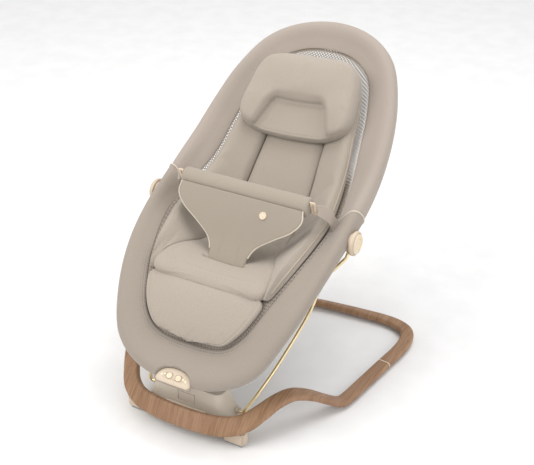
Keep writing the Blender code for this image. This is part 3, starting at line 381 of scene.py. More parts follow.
def rim_edge(table, s):
    """Points on an edge of the rim; negative stations are on the left half."""
    s = np.asarray(s, float)
    rows = [(-table[1][0], *table[1][1:]), *table, (-table[-2][0], *table[-2][1:])]
    spot = smooth([(k * RIM_HALF_WIDTH, y, z) for k, y, z in rows], np.abs(s) + 1)
    spot[..., 0] *= np.where(s < 0, -1.0, 1.0)
    return spot


def rim_frame(s):
    """Inner edge, width, unit vector across and unit vector off the rim at the stations s."""
    inner, outer = rim_edge(RIM_INNER, s), rim_edge(RIM_OUTER, s)
    ahead = rim_edge(RIM_OUTER, s + 0.05) - rim_edge(RIM_OUTER, s - 0.05)
    across = unit(outer - inner)
    return inner, np.linalg.norm(outer - inner, axis=-1), across, unit(np.cross(across, ahead))


def flat_sling(s, u):
    """Points of the sling, hung from the rim's inner edge down to its middle line."""
    edge = rim_edge(RIM_INNER, s)
    middle = smooth([(0.0, y, z) for y, z in SLING_MIDDLE], s)
    share = (np.abs(u) ** 2.6)[..., None]
    spot = middle + (edge - middle) * share
    spot[..., 0] = edge[..., 0] * u
    return SEAT_MIDDLE + (spot - SEAT_MIDDLE) * SLING_SHARE


def sling(s, u, lift=0.0):
    """Points of the sling at stations s and shares u of its half width, lifted off it."""
    s, u, lift = np.broadcast_arrays(*(np.asarray(v, float) for v in (s, u, lift)))
    spot = flat_sling(s, u)
    across = flat_sling(s, u + 0.02) - flat_sling(s, u - 0.02)
    ahead = flat_sling(s + 0.04, u) - flat_sling(s - 0.04, u)
    return spot + unit(np.cross(across, ahead)) * lift[..., None]


# ---- mesh helpers ---------------------------------------------------------------------


def build(name, verts, faces, coat, uvs=None, sharp=None):
    """Mesh object; uvs is one pair for each vertex, or for each corner of each face."""
    data = bpy.data.meshes.new(name)
    data.from_pydata([tuple(v) for v in verts], [], [tuple(f) for f in faces])
    data.validate()
    data.shade_smooth()
    if sharp:
        data.set_sharp_from_angle(angle=math.radians(sharp))
    if uvs is not None:
        layer = data.uv_layers.new(name="metres")
        corner = np.zeros(len(data.loops), int)
        data.loops.foreach_get("vertex_index", corner)
        table = np.asarray(uvs, float)
        pairs = table[corner] if len(table) == len(data.vertices) else table
        layer.data.foreach_set("uv", pairs[:, :2].astype(np.float32).ravel())
    data.materials.append(coat)
    obj = bpy.data.objects.new(name, data)
    SCENE.collection.objects.link(obj)
    return obj


def grid_faces(rows, columns, start=0, flip=False):
    faces = []
    for r in range(rows - 1):
        for c in range(columns - 1):
            a = start + r * columns + c
            quad = (a, a + 1, a + columns + 1, a + columns)
            faces.append(quad[::-1] if flip else quad)
    return faces


def loft(name, rings, coat, closed=False, sharp=None, along=0.0):
    """Skin over an array of rings (n, m, 3), with UVs in metres along and around."""
    rings = np.asarray(rings, float)
    n, m = rings.shape[:2]
    steps = np.linalg.norm(np.roll(rings, -1, 1) - rings, axis=-1)
    middle = rings.mean(1)
    run = np.concatenate([[0], np.cumsum(np.linalg.norm(np.diff(middle, axis=0), axis=-1))])
    verts = list(rings.reshape(-1, 3))
    faces, uvs = [], []
    girth = np.concatenate([np.zeros((n, 1)), np.cumsum(steps, 1)], 1)
    for i in range(n if closed else n - 1):
        for j in range(m):
            k, near, far = (j + 1) % m, i * m, ((i + 1) % n) * m
            faces.append((near + j, near + k, far + k, far + j))
            v0, v1 = girth[i, j], girth[i, j + 1]
            u0, u1 = run[i] + along, (run[i + 1] if i + 1 < n else run[i] + 0.004) + along
            uvs += [(u0, v0), (u0, v1), (u1, v1), (u1, v0)]
    if not closed:
        for i, order in ((0, -1), (n - 1, 1)):
            base = i * m
            centre = len(verts)
            verts.append(rings[i].mean(0))
            for j in range(m):
                tri = (base + j, base + (j + 1) % m, centre)
                faces.append(tri[::order])
                uvs += [(0, 0), (0, 0.003), (0.003, 0)]
    return face_out(build(name, verts, faces, coat, uvs, sharp))


def face_out(obj):
    """Turns every face of a closed mesh outwards."""
    made = bmesh.new()
    made.from_mesh(obj.data)
    bmesh.ops.recalc_face_normals(made, faces=made.faces)
    if made.calc_volume(signed=True) < 0:
        bmesh.ops.reverse_faces(made, faces=made.faces)
    made.to_mesh(obj.data)
    made.free()
    return obj


def tube(name, path, radius, coat, sides, closed=False):
    """Round tube along a path of points."""
    path = np.asarray(path, float)
    if closed:
        ahead = unit(np.roll(path, -1, 0) - np.roll(path, 1, 0))
    else:
        ahead = unit(np.gradient(path, axis=0))
    start = np.array((0.0, 0.0, 1.0)) if abs(ahead[0][2]) < 0.9 else np.array((1.0, 0.0, 0.0))
    side = unit(start - ahead[0] * np.dot(start, ahead[0]))
    angle = np.arange(sides) * TAU / sides
    rings = []
    for p, t in zip(path, ahead):
        side = unit(side - t * np.dot(side, t))
        other = np.cross(t, side)
        rings.append(p + (np.cos(angle)[:, None] * side + np.sin(angle)[:, None] * other)
                     * radius)
    return loft(name, rings, coat, closed=closed)


def two_faced(name, front, back, coat, uvs):
    """Thin closed piece between two grids of points, with the same UVs on both faces."""
    rows, columns = front.shape[:2]
    shift = rows * columns
    faces = grid_faces(rows, columns) + grid_faces(rows, columns, shift, True)
    index = np.arange(shift).reshape(rows, columns)
    rim = [*index[0], *index[1:, -1], *index[-1, -2::-1], *index[-2:0:-1, 0]]
    for a, b in zip(rim, rim[1:] + rim[:1]):
        faces.append((int(a), int(b), int(b) + shift, int(a) + shift))
    flat = np.reshape(uvs, (-1, 2))
    verts = [*front.reshape(-1, 3), *back.reshape(-1, 3)]
    return face_out(build(name, verts, faces, coat, np.vstack([flat, flat])))


def join(name, objs):
    """One object from several meshes of one material."""
    made = bmesh.new()
    for obj in objs:
        made.from_mesh(obj.data)
    data = bpy.data.meshes.new(name)
    made.to_mesh(data)
    made.free()
    data.materials.append(objs[0].data.materials[0])
    for obj in objs[1:]:
        bpy.data.objects.remove(obj)
    objs[0].data, objs[0].name = data, name
    return objs[0]


def apply_all(obj):
    """Turns the object's modifiers into its mesh."""
    graph = bpy.context.evaluated_depsgraph_get()
    data = bpy.data.meshes.new_from_object(obj.evaluated_get(graph))
    obj.modifiers.clear()
    obj.data = data
    return obj


def wobble(obj, size, depth, seed=0.0):
    """Moves the vertices along their normals by smooth noise."""
    data = obj.data
    shift = Vector((seed, seed * 1.7, seed * 0.3))
    for vertex, normal in zip(data.vertices, [n.vector.copy() for n in data.vertex_normals]):
        vertex.co += normal * (depth * noise.noise(vertex.co / size + shift))
    return obj


def settle(obj, slot, body, *nodes, fill=None):
    """Hangs a piece on its body's empty and hides the CAD nodes it stands for; slot and fill are
    not used.
    """
    if nodes:
        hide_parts(*nodes)
    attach(obj, body)


# ---- padded pieces --------------------------------------------------------------------

PUFF_STEPS = 20
SOFT = []                       # (object, pinned vertices, cap) waiting for the cloth step
# stations that each piece covers
SEAT_SPAN, BACK_SPAN = (3.26, 6.02), (5.60, 11.1)
WING_SPAN, FLAP_SPAN = (3.42, 10.75), (0.30, 3.46)


def rounded_square(x, y, power):
    """Pulls the corners of the square -1..1 in, so that its outline turns smoothly."""
    c = 2.0 / (power + 2.0)
    return (x * np.sqrt(1 - c * np.abs(y) ** power), y * np.sqrt(1 - c * np.abs(x) ** power))


def quarter(d, radius):
    """Height of a quarter circle at a distance from its foot, from 0 to 1."""
    return np.sqrt(np.clip(1 - (1 - np.clip(d / radius, 0, 1)) ** 2, 0, 1))


def steps(count, crowd=0.9):
    """Values from -1 to 1 that crowd towards both ends."""
    t = np.linspace(-1, 1, count)
    return np.sin(t * math.pi / 2 * crowd) / math.sin(math.pi / 2 * crowd)


def pad(name, place, height, rows, columns, coat, base=0.0036, seam=0.40, power=14.0,
        edge=None, pins=None, cap=0.006, flip=False, ground=None):
    """Closed pad on the sling, or on another ground. place(x, y) gives the ground's two
    coordinates, height(x, y) the thickness; pins(x, y) is true where stitches hold."""
    ground = ground or sling
    x, y = np.meshgrid(steps(columns), steps(rows))
    px, py = rounded_square(x, y, power)
    s, u = place(px, py)
    mid = ground(s, u, base)
    row_step = np.linalg.norm(np.diff(mid, axis=1), axis=-1)
    col_step = np.linalg.norm(np.diff(mid, axis=0), axis=-1)
    run_x = np.concatenate([np.zeros((rows, 1)), np.cumsum(row_step, 1)], 1)
    run_y = np.concatenate([np.zeros((1, columns)), np.cumsum(col_step, 0)], 0)
    from_x = np.minimum(run_x, run_x[:, -1:] - run_x)
    from_y = np.minimum(run_y, run_y[-1:] - run_y)
    thick = height(px, py)
    radius = 0.8 * thick if edge is None else edge(px, py) if callable(edge) else edge
    rise = quarter(from_x, radius) * quarter(from_y, radius)
    front = base + thick * (seam + (1 - seam) * rise)
    back = base + thick * seam * (1 - quarter(from_x, radius) * quarter(from_y, radius))
    top = ground(s, u, front).reshape(-1, 3)
    low = ground(s, u, back).reshape(-1, 3)
    index = np.arange(rows * columns).reshape(rows, columns)
    inner = index[1:-1, 1:-1].ravel()
    verts = list(top) + list(low[inner])
    swap = np.arange(rows * columns)
    swap[inner] = rows * columns + np.arange(len(inner))
    faces = grid_faces(rows, columns, flip=flip)
    faces += [tuple(int(swap[v]) for v in quad[::-1]) for quad in faces]
    flat = np.stack([run_x - run_x[:, -1:] / 2, run_y - run_y[-1:] / 2], -1).reshape(-1, 2)
    uvs = np.vstack([flat, flat[inner] + (0.5, 0.0)])
    obj = face_out(build(name, verts, faces, coat, uvs))
    held = np.zeros(len(verts), bool)
    held[rows * columns:] = True
    if pins is not None:
        held[:rows * columns] |= pins(px, py).ravel()
    SOFT.append((obj, held, cap))
    return obj


def puff():
    """Inflates every padded piece as cloth under pressure, held where it is stitched."""
    for obj, held, _ in SOFT:
        group = obj.vertex_groups.new(name="held")
        group.add([int(k) for k in np.nonzero(held)[0]], 1.0, "REPLACE")
        step = obj.modifiers.new("puff", "CLOTH")
        settings = step.settings
        settings.quality = 6
        settings.mass = 0.25
        settings.tension_stiffness = settings.compression_stiffness = 18
        settings.shear_stiffness = 12
        settings.bending_stiffness = 0.6
        settings.air_damping = 4
        settings.use_pressure = True
        settings.uniform_pressure_force = 4.0
        settings.vertex_group_mass = "held"
        settings.effector_weights.gravity = 0
        step.point_cache.frame_start, step.point_cache.frame_end = 1, PUFF_STEPS
    for tick in range(1, PUFF_STEPS + 1):
        SCENE.frame_set(tick)
    graph = bpy.context.evaluated_depsgraph_get()
    for obj, _, cap in SOFT:
        done = obj.evaluated_get(graph).to_mesh()
        count = len(obj.data.vertices)
        new, old = np.zeros(count * 3), np.zeros(count * 3)
        done.vertices.foreach_get("co", new)
        obj.data.vertices.foreach_get("co", old)
        obj.evaluated_get(graph).to_mesh_clear()
        move = (new - old).reshape(-1, 3)
        size = np.linalg.norm(move, axis=1, keepdims=True)
        limit = cap * np.tanh(size / cap) / np.maximum(size, 1e-9)
        obj.data.vertices.foreach_set("co", old + (move * limit).ravel())
        obj.modifiers.clear()
        obj.vertex_groups.clear()
        obj.data.update()
    SCENE.frame_set(1)


def refine(obj):
    """Subdivides a pad for good, so that seams can be drawn into it."""
    step = obj.modifiers.new("finer", "SUBSURF")
    step.levels = step.render_levels = 1
    return apply_all(obj)


def press(obj, curve, width, depth, closed=False):
    """Draws a stitched channel along a curve: nearby vertices sink along their normals."""
    path = np.asarray(curve, float)
    count = len(obj.data.vertices)
    co, no = np.zeros(count * 3), np.zeros(count * 3)
    obj.data.vertices.foreach_get("co", co)
    obj.data.vertex_normals.foreach_get("vector", no)
    co, no = co.reshape(-1, 3), no.reshape(-1, 3)
    ends = np.roll(path, -1, 0) if closed else path[1:]
    best = np.full(count, 1e9)
    for a, b in zip(path, ends):
        d = b - a
        t = np.clip(((co - a) @ d) / max(d @ d, 1e-12), 0, 1)
        best = np.minimum(best, np.linalg.norm(co - a - t[:, None] * d, axis=1))
    sink = depth * np.exp(-(best / width) ** 2)
    obj.data.vertices.foreach_set("co", (co - no * sink[:, None]).ravel())
    obj.data.update()


def on_front(obj, path):
    """The curve's points laid on the object's surface."""
    made = bmesh.new()
    made.from_mesh(obj.data)
    tree = BVHTree.FromBMesh(made)
    spots = [np.array(tree.find_nearest(Vector(p))[0]) for p in path]
    made.free()
    return np.array(spots)


def along(span, y):
    """Station at the share y, from -1 to 1, of a span of stations."""
    return span[0] + (span[1] - span[0]) * (y + 1) / 2


def wing_out(s):
    """Outer edge of a side wing, as a share of the sling's half width; wing_in is its inner."""
    return np.interp(s, (3.3, 4.2, 5.6, 7.0, 9.0, 10.8), (0.965, 0.99, 0.995, 0.985, 0.955, 0.90))


def wing_in(s):
    return np.interp(s, (3.3, 4.0, 4.5, 4.95, 5.4, 10.8), (0.90, 0.855, 0.70, 0.545, 0.499, 0.499))


def make_pads():
    """The padded pieces, puffed up together."""
    def seat_place(x, y):
        return (along(SEAT_SPAN, y), x * np.interp((y + 1) / 2, (0, 0.15, 0.35, 0.60, 1),
                                                   (0.945, 0.93, 0.83, 0.60, 0.50)))

    def seat_height(x, y):
        return 0.0165 + 0.0085 * np.exp(-((y + 1) / 0.55) ** 2) + 0.002 * (1 - x ** 2)

    seat = pad("seat_pad", seat_place, seat_height, 54, 56, BEIGE, power=12,
               pins=lambda x, y: y > 0.93, cap=0.005)

    back = pad("back_pad", lambda x, y: (along(BACK_SPAN, y), 0.4975 * x),
               lambda x, y: 0.0165 + 0.0 * x, 84, 44, BEIGE, power=20,
               pins=lambda x, y: np.abs(x) > 0.985, cap=0.004, edge=0.009)
    wings = []
    for side, sign in SIDES:
        def wing_place(x, y, sign=sign):
            s = along(WING_SPAN, y)
            low, high = wing_in(s), wing_out(s)
            return s, sign * (low + (high - low) * (x + 1) / 2)

        def wing_height(x, y):
            return 0.0180 + 0.0080 * (x + 1) / 2 - 0.008 * np.clip(-y - 0.82, 0, 1) / 0.18

        wings.append(pad("side_wing_cover_" + side, wing_place, wing_height, 104, 30, BEIGE,
                         power=16, edge=0.010, seam=0.5, cap=0.0045, flip=sign < 0))

    flap = pad("leg_flap", flap_place, lambda x, y: 0.0115 + 0.0 * x, 50, 56, BEIGE, power=11,
               edge=0.007, cap=0.0035)
    pillow = make_pillow()
    puff()
    return seat, back, wings, flap, pillow


def flap_place(x, y):
    return along(FLAP_SPAN, y), 0.985 * x


def pillow_ground(b, a, lift=0.0):
    """Points over the head of the back: b up the back, a across, gently wrapped inwards."""
    b, a, lift = np.broadcast_arrays(*(np.asarray(v, float) for v in (b, a, lift)))
    up = unit(sling(np.array(10.0), np.array(0.0)) - sling(np.array(9.0), np.array(0.0)))
    off = np.array((0.0, -up[2], up[1]))
    spot = sling(np.array(9.5), np.array(0.0)) + up * (b + 0.35 * a ** 2)[..., None]
    spot = spot + off * (lift + 1.0 * a ** 2)[..., None]
    return spot + np.array((1.0, 0.0, 0.0)) * a[..., None]


def pillow_place(x, y):
    a = x * (0.1220 - 0.0120 * y)
    bow = (1 - x ** 2) * np.where(y > 0, 0.009 * y, 0.003 * y)
    return 0.003 + 0.084 * y + bow + 0.05 * a, a


def recess_half(y):
    return np.interp(y, (-1.0, -0.05), (0.63, 0.47))


def recess_share(x, y):
    """1 inside the pillow's dished middle, which is open at the bottom, and 0 outside."""
    side = np.clip((recess_half(y) - np.abs(x)) / 0.16 + 0.5, 0, 1)
    top = np.clip((-0.10 - y) / 0.30 + 0.5, 0, 1)
    share = side * top
    return share * share * (3 - 2 * share)


def make_pillow():
    def height(x, y):
        full = 0.050 - 0.012 * np.clip(-y - 0.2, 0, 1) - 0.006 * np.abs(x) ** 3
        return full * (1 - 0.46 * recess_share(x, y))

    def pins(x, y):
        share = recess_share(x, y)
        return (share > 0.90) | (y < -0.97)

    return pad("pillow", pillow_place, height, 60, 74, BEIGE, base=0.0260, power=5,
               edge=lambda x, y: 0.024 - 0.017 * recess_share(x, y), seam=0.30, pins=pins,
               cap=0.007, ground=pillow_ground)


def slot_and_seams(seat):
    """The seat's front seam, and the slot that the crotch strap goes down."""
    line = np.linspace(-0.64, 0.64, 40)
    press(seat, on_front(seat, sling(3.72 + 0.08 * line ** 2, line, 0.025)), 0.0022, 0.0012)
    low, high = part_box("crotch_strap")
    wide = high.x + 0.003
    slot = [(x, low.y + 0.004, high.z) for x in np.linspace(-wide, wide, 30)]
    press(seat, on_front(seat, slot), 0.0042, 0.0115)


def flap_seam(flap):
    """Stitching all round the leg flap, near its edge."""
    ring = []
    for angle in np.linspace(0, 1, 120, endpoint=False) * TAU:
        x, y = math.cos(angle), math.sin(angle)
        big = max(abs(x), abs(y)) / 0.93
        ring.append(flap_place(*rounded_square(np.array(x / big), np.array(y / big), 11)))
    ring = np.array(ring)
    press(flap, on_front(flap, sling(ring[:, 0], ring[:, 1], 0.016)), 0.0016, 0.0013, True)


def pillow_creases(pillow):
    """The crease round the dished middle, and the seam along the lower edge."""
    t = np.linspace(-0.97, -0.17, 40)
    half = recess_half(t) - 0.055
    crease = [pillow_place(-h, y) for h, y in zip(half, t)]
    crease += [pillow_place(x, -0.15) for x in np.linspace(-0.40, 0.40, 24)]
    crease = np.array(crease + [pillow_place(h, y) for h, y in zip(half[::-1], t[::-1])], float)
    path = smooth(pillow_ground(crease[:, 0], crease[:, 1], 0.060),
                  np.linspace(0, len(crease) - 1, 120))
    press(pillow, on_front(pillow, path), 0.0030, 0.0028)
    x = np.linspace(-0.93, 0.93, 60)
    b, a = pillow_place(x, np.full_like(x, -0.93))
    press(pillow, on_front(pillow, pillow_ground(b, a, 0.06)), 0.0018, 0.0007)


def dress_pads(seat, back, wings, flap, pillow):
    """Seams, creases and piping on the padded pieces, and what each stands for."""
    for obj in (seat, flap, back, pillow, *wings):
        refine(obj)
    slot_and_seams(seat)
    flap_seam(flap)
    pillow_creases(pillow)
    for obj, size, depth, seed, *nodes in (
            (seat, 0.05, 0.0010, 1.0, "seat_cushion"), (flap, 0.045, 0.0006, 2.0, "leg_cushion"),
            (back, 0.06, 0.0007, 3.0, "back_cushion"), (pillow, 0.05, 0.0011, 4.0, "head_pillow"),
            (wings[0], 0.05, 0.0008, 5.0, "side_wing_R", "side_bolster_R"),
            (wings[1], 0.05, 0.0008, 6.0, "side_wing_L", "side_bolster_L")):
        wobble(obj, size, depth, seed)
        settle(obj, "beige_cloth", "seat", *nodes, fill=0.6)
    for (side, sign), wing in zip(SIDES, wings):
        s = np.linspace(3.62, 10.55, 150)
        path = sling(s, sign * (wing_out(s) + 0.004), 0.0136)
        settle(tube("wing_piping_" + side, on_front(wing, path), 0.0014, SEAM_CLOTH, 10),
               "beige_cloth", "seat")


dress_pads(*make_pads())

# ---- rim covers -----------------------------------------------------------------------

PANEL_HALF, PANEL_HEIGHT = 0.0385, 0.032
KEY_WELL = 0.0062               # radius of the holes that the keys sink into
KEY_X, KEY_UP = 0.010, 0.003    # places of the two keys on the panel
UNIT = np.array((0.0, -0.3405, 0.1375))
TILT = math.radians(50)
UNIT_OUT = np.array((0.0, -math.cos(TILT), math.sin(TILT)))
UNIT_UP = np.array((0.0, math.sin(TILT), math.cos(TILT)))


def unit_spot(x, out, up):
    """Point of the control unit: across, out of its face and up its face."""
    return UNIT + np.array((x, 0.0, 0.0)) + UNIT_OUT * out + UNIT_UP * up


def outline(count):
    """Closed smooth section of the rim as (share across, share of the thickness)."""
    p = np.array(RIM_OUTLINE[-2:] + RIM_OUTLINE + RIM_OUTLINE[:3])
    return smooth(p, 2 + np.arange(count) * len(RIM_OUTLINE) / count)


def rim_rings(s, swell, count=44):
    """Sections of the rim at the stations s, each grown by its own swell."""
    inner, width, across, normal = rim_frame(s)
    section = outline(count)
    rings = (inner[:, None] + across[:, None] * (section[None, :, :1] * width[:, None, None])
             + normal[:, None] * (section[None, :, 1:2] * RIM_THICKNESS))
    centre = rings.mean(1, keepdims=True)
    return centre + (rings - centre) * swell[:, None, None]


def half_moon(count=30):
    """The control panel's outline: straight lower edge and arched upper edge."""
    corner = 0.005
    points = [(corner - PANEL_HALF, -PANEL_HEIGHT * 0.4),
              (PANEL_HALF - corner, -PANEL_HEIGHT * 0.4)]
    for k in range(count + 1):
        angle = math.pi * k / count
        wide = abs(math.cos(angle)) ** 0.85 * math.copysign(1, math.cos(angle))
        points.append((PANEL_HALF * wide,
                       -PANEL_HEIGHT * 0.22 + PANEL_HEIGHT * 0.82 * math.sin(angle) ** 0.9))
    return points


def boolean(obj, cutter):
    step = obj.modifiers.new("cut", "BOOLEAN")
    step.operation, step.solver, step.object = "DIFFERENCE", "EXACT", cutter
    apply_all(obj)
    bpy.data.objects.remove(cutter)


def make_rim():
    gap = 0.005
    s = np.linspace(-SEAM + gap, SEAM - gap, 190)
    lift = 1.0 + 0.022 * np.exp(-((SEAM - np.abs(s)) / 0.25) ** 2)
    length = np.linalg.norm(np.diff(rim_frame(s)[0], axis=0), axis=1).sum()
    lower = loft("rim_cover_lower", rim_rings(s, lift), TAUPE_LOWER, along=-length / 2)
    t = np.linspace(SEAM + gap, 2 * LAST - SEAM - gap, 200)
    shrink = 1.0 - sum(0.018 * np.exp(-(d / 0.16) ** 2) for d in (t - SEAM, 2 * LAST - SEAM - t))
    upper = loft("rim_cover_upper", rim_rings(np.where(t <= LAST, t, t - 2 * LAST), shrink),
                 TAUPE)
    wobble(upper, 0.09, 0.0011, 7.0)
    wobble(lower, 0.09, 0.0009, 8.0)
    around = [(u * 1.03, v * 1.05) for u, v in half_moon()]
    plates = [[unit_spot(u, out, v) for u, v in around] for out in (-0.023, 0.030)]
    boolean(lower, loft("notch", plates, TAUPE_LOWER))
    for obj, node in ((lower, "rim_pad_lower"), (upper, "rim_pad_upper")):
        settle(obj, "taupe_knit", "seat", node, fill=0.9)
    for side, sign in SIDES:
        ring = rim_rings(np.array([sign * SEAM]), np.array([1.028]), 60)[0]
        settle(tube("rim_piping_" + side, ring, 0.0016, PIPING, 10, closed=True),
               "cream_plastic", "seat")
    edge = [unit_spot(u, 0.0016, v) for u, v in around]
    settle(tube("panel_gasket", ring_through(edge, 120), 0.0010, TAUPE_LOWER, 8, closed=True),
           "taupe_knit", "seat")


make_rim()

# ---- see-through mesh -----------------------------------------------------------------

NET_PITCH = 0.0034
NET_YARN = 0.0027
TUCK = 1.07                     # share of the half width to which cloth runs under the rim
FOOT_CLOTH_END = 5.90


def under_rim(s, u, lift):
    """The sling run on past its edge, inside the rim's padding."""
    s, u = np.broadcast_arrays(np.asarray(s, float), np.asarray(u, float))
    away = rim_frame(s)
    past = np.clip(np.abs(u) - 1, 0, None)[..., None] * 0.12
    across = away[2] * 1.0 - away[3] * 0.7
    across[..., 0] *= np.sign(u)
    return sling(s, np.clip(u, -1, 1), lift) + across * past


def surface_tree():
    """The sling's surface, run on a little under the rim all round, for casting onto."""
    grid = under_rim(np.linspace(0, LAST, 240)[:, None],
                     np.linspace(-TUCK, TUCK, 91)[None, :], -0.0012)
    faces = grid_faces(*grid.shape[:2])
    return BVHTree.FromPolygons([tuple(v) for v in grid.reshape(-1, 3)], faces)


def make_net():
    """Open mesh of diagonal yarns, one diamond for each hole, held by the rim's edge."""
    pitch = NET_PITCH
    middle = flat_sling(np.linspace(0, LAST, 1200), np.zeros(1200))
    run = np.concatenate([[0], np.cumsum(np.linalg.norm(np.diff(middle, axis=0), axis=1))])
    tree = surface_tree()
    rows, columns = int((run[-1] + 0.020) / pitch), int(0.19 / pitch)
    spots = {}
    for j in range(-3, rows):
        y = float(np.interp(j * pitch, run, middle[:, 1]))
        y += min(j * pitch, 0) + max(j * pitch - run[-1], 0) * 0.7
        for i in range(-columns, columns + 1):
            if (i + j) % 2:
                hit = tree.ray_cast(Vector((i * pitch, y, 2.0)), Vector((0, 0, -1)))[0]
                if hit is not None:
                    spots[i, j] = tuple(hit)
    cells = [((i, j - 1), (i + 1, j), (i, j + 1), (i - 1, j))
             for j in range(-3, rows) for i in range(-columns, columns + 1)]
    cells = [cell for cell in cells if all(key in spots for key in cell)]
    corners = {key for cell in cells for key in cell}
    used = [key for key in spots if key in corners]
    number = {key: n for n, key in enumerate(used)}
    net = build("mesh_net", [spots[key] for key in used],
                [tuple(number[key] for key in cell) for cell in cells], NET,
                [(i * pitch, j * pitch) for i, j in used])
    step = net.modifiers.new("yarns", "WIREFRAME")
    step.thickness = NET_YARN
    step.use_even_offset = False
    step.use_boundary = True
    settle(apply_all(net), "mesh_cloth", "seat", "mesh_sling")


def make_foot_cloth():
    """Close cloth of the lower cover's colour that fills the sling under the leg flap."""
    rows, columns, thick, lift = 90, 74, 0.0010, 0.0012
    s, u = np.meshgrid(np.linspace(0.0, FOOT_CLOTH_END, rows),
                       np.linspace(-TUCK, TUCK, columns), indexing="ij")
    middle = sling(s[:, 0], np.zeros(rows))
    length = float(np.linalg.norm(np.diff(middle, axis=0), axis=1).sum())
    flat = np.stack([u * rim_edge(RIM_INNER, s)[..., 0], -s / FOOT_CLOTH_END * length], -1)
    piece = two_faced("foot_cloth", under_rim(s, u, lift), under_rim(s, u, lift - thick),
                      TAUPE_LOWER, flat)
    settle(piece, "taupe_knit", "seat")


make_net()
make_foot_cloth()

# ---- harness --------------------------------------------------------------------------

ROLL_LOW, ROLL_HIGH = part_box("harness_roll")
ROLL = np.array((ROLL_LOW + ROLL_HIGH) / 2)
ROLL_RADIUS = (ROLL_HIGH.z - ROLL_LOW.z) / 2
ROLL_HALF = (ROLL_HIGH.x - ROLL_LOW.x) / 2
CROTCH = np.array((0.0, -0.1410, 0.284))
HARNESS_DOWN = unit(CROTCH - ROLL)
HARNESS_OFF = np.array((0.0, HARNESS_DOWN[2], -HARNESS_DOWN[1]))
HARNESS_OFF = HARNESS_OFF * -math.copysign(1, HARNESS_OFF[1])
PANEL_FOOT = CROTCH + HARNESS_OFF * 0.0065
# share of the way from roll to slot, half width
PANEL_OUTLINE = [(0.0, 0.134), (0.17, 0.136), (0.34, 0.118), (0.50, 0.085), (0.66, 0.056),
                 (0.80, 0.044), (1.0, 0.040)]


def make_roll():
    """The padded roll, with its lapped seam and a line of stitching near each end."""
    sides, lap_at, stitch_in = 48, 4.05, 0.014
    turn_in = 0.006 * (1 - np.cos(np.linspace(0, math.pi / 2, 7)))
    straight = ROLL_HALF - 0.010
    xs = np.concatenate([turn_in - ROLL_HALF, np.linspace(-straight, straight, 70),
                         ROLL_HALF - turn_in[::-1]])
    angle = np.arange(sides) * TAU / sides
    rings = []
    for x in xs:
        from_end = ROLL_HALF - abs(x)
        shrink = 0.72 + 0.28 * float(quarter(np.array(from_end), 0.0065))
        stitch = 0.0008 * math.exp(-((from_end - stitch_in) / 0.0012) ** 2)
        sag = 0.0008 * math.cos(x / ROLL_HALF * math.pi / 2)
        lap = 0.0011 * np.exp(-((np.mod(angle - lap_at, TAU)) / 0.16) ** 2)
        radius = (ROLL_RADIUS - 0.0004) * shrink - stitch + lap
        rings.append(np.stack([np.full(sides, x), ROLL[1] + radius * np.cos(angle),
                               ROLL[2] + radius * np.sin(angle) - sag], -1))
    roll = wobble(loft("harness_roll_cover", rings, HARNESS), 0.03, 0.0006, 9.0)
    settle(roll, "taupe_knit", "harness", "harness_roll", fill=0.9)


def panel_point(share, across, lift):
    """Point of the crotch panel; share runs from the roll to the slot."""
    start = ROLL + HARNESS_DOWN * (ROLL_RADIUS * 0.55) + HARNESS_OFF * (ROLL_RADIUS * 0.80)
    share = np.asarray(share, float)[..., None]
    bow = np.sin(share * math.pi) * 0.0045 - np.sin(share * TAU) * 0.0016
    spot = start * (1 - share) + PANEL_FOOT * share
    spot = spot - HARNESS_OFF * bow + HARNESS_OFF * np.asarray(lift, float)[..., None]
    return spot + np.stack([np.asarray(across, float)] + [np.zeros_like(across)] * 2, -1)


def make_panel():
    """The shaped panel, stitched lengthwise near the slot and piped along both edges."""
    rows, columns, thick, piping_end = 60, 64, 0.0034, 0.86
    share = np.linspace(0.0, 1.0, rows)
    shares = [p[0] for p in PANEL_OUTLINE]
    knots = np.interp(share, shares, np.arange(len(shares)))
    half = smooth([(p[1], 0, 0) for p in PANEL_OUTLINE], knots)[:, 0]
    across = steps(columns, 0.7)
    grid_s = np.repeat(share[:, None], columns, 1)
    grid_x = half[:, None] * across[None]
    edge = quarter((1 - np.abs(across))[None] * half[:, None], 0.003)
    base = 0.0008 + 0.0006 * np.sin(grid_x * 95 + 1.0) * grid_s ** 2
    panel = two_faced("crotch_panel_cover", panel_point(grid_s, grid_x, base + thick * edge),
                      panel_point(grid_s, grid_x, base - 0.0008 * edge), HARNESS,
                      np.stack([grid_x, grid_s * 0.12], -1))
    for x in (-0.021, 0.021):
        run = np.linspace(0.60, 1.0, 30)
        press(panel, panel_point(run, np.full_like(run, x), np.full_like(run, 0.004)), 0.0016,
              0.0009)
    settle(panel, "taupe_knit", "harness", "crotch_panel", fill=0.3)
    piped = share <= piping_end
    for side, sign in SIDES:
        path = panel_point(share[piped], sign * (half[piped] + 0.0006),
                           np.full(piped.sum(), 0.0022))
        settle(tube("panel_piping_" + side, path, 0.0015, PIPING, 10), "cream_plastic",
               "harness")


def flat_section(count, wide, thick, across_power, off_power):
    """Section of a flat band with rounded edges, as (across, off) pairs."""
    angle = np.arange(count) * TAU / count
    c, s = np.cos(angle), np.sin(angle)
    return np.stack([np.copysign(np.abs(c) ** across_power, c) * wide,
                     np.copysign(np.abs(s) ** off_power, s) * thick], -1)


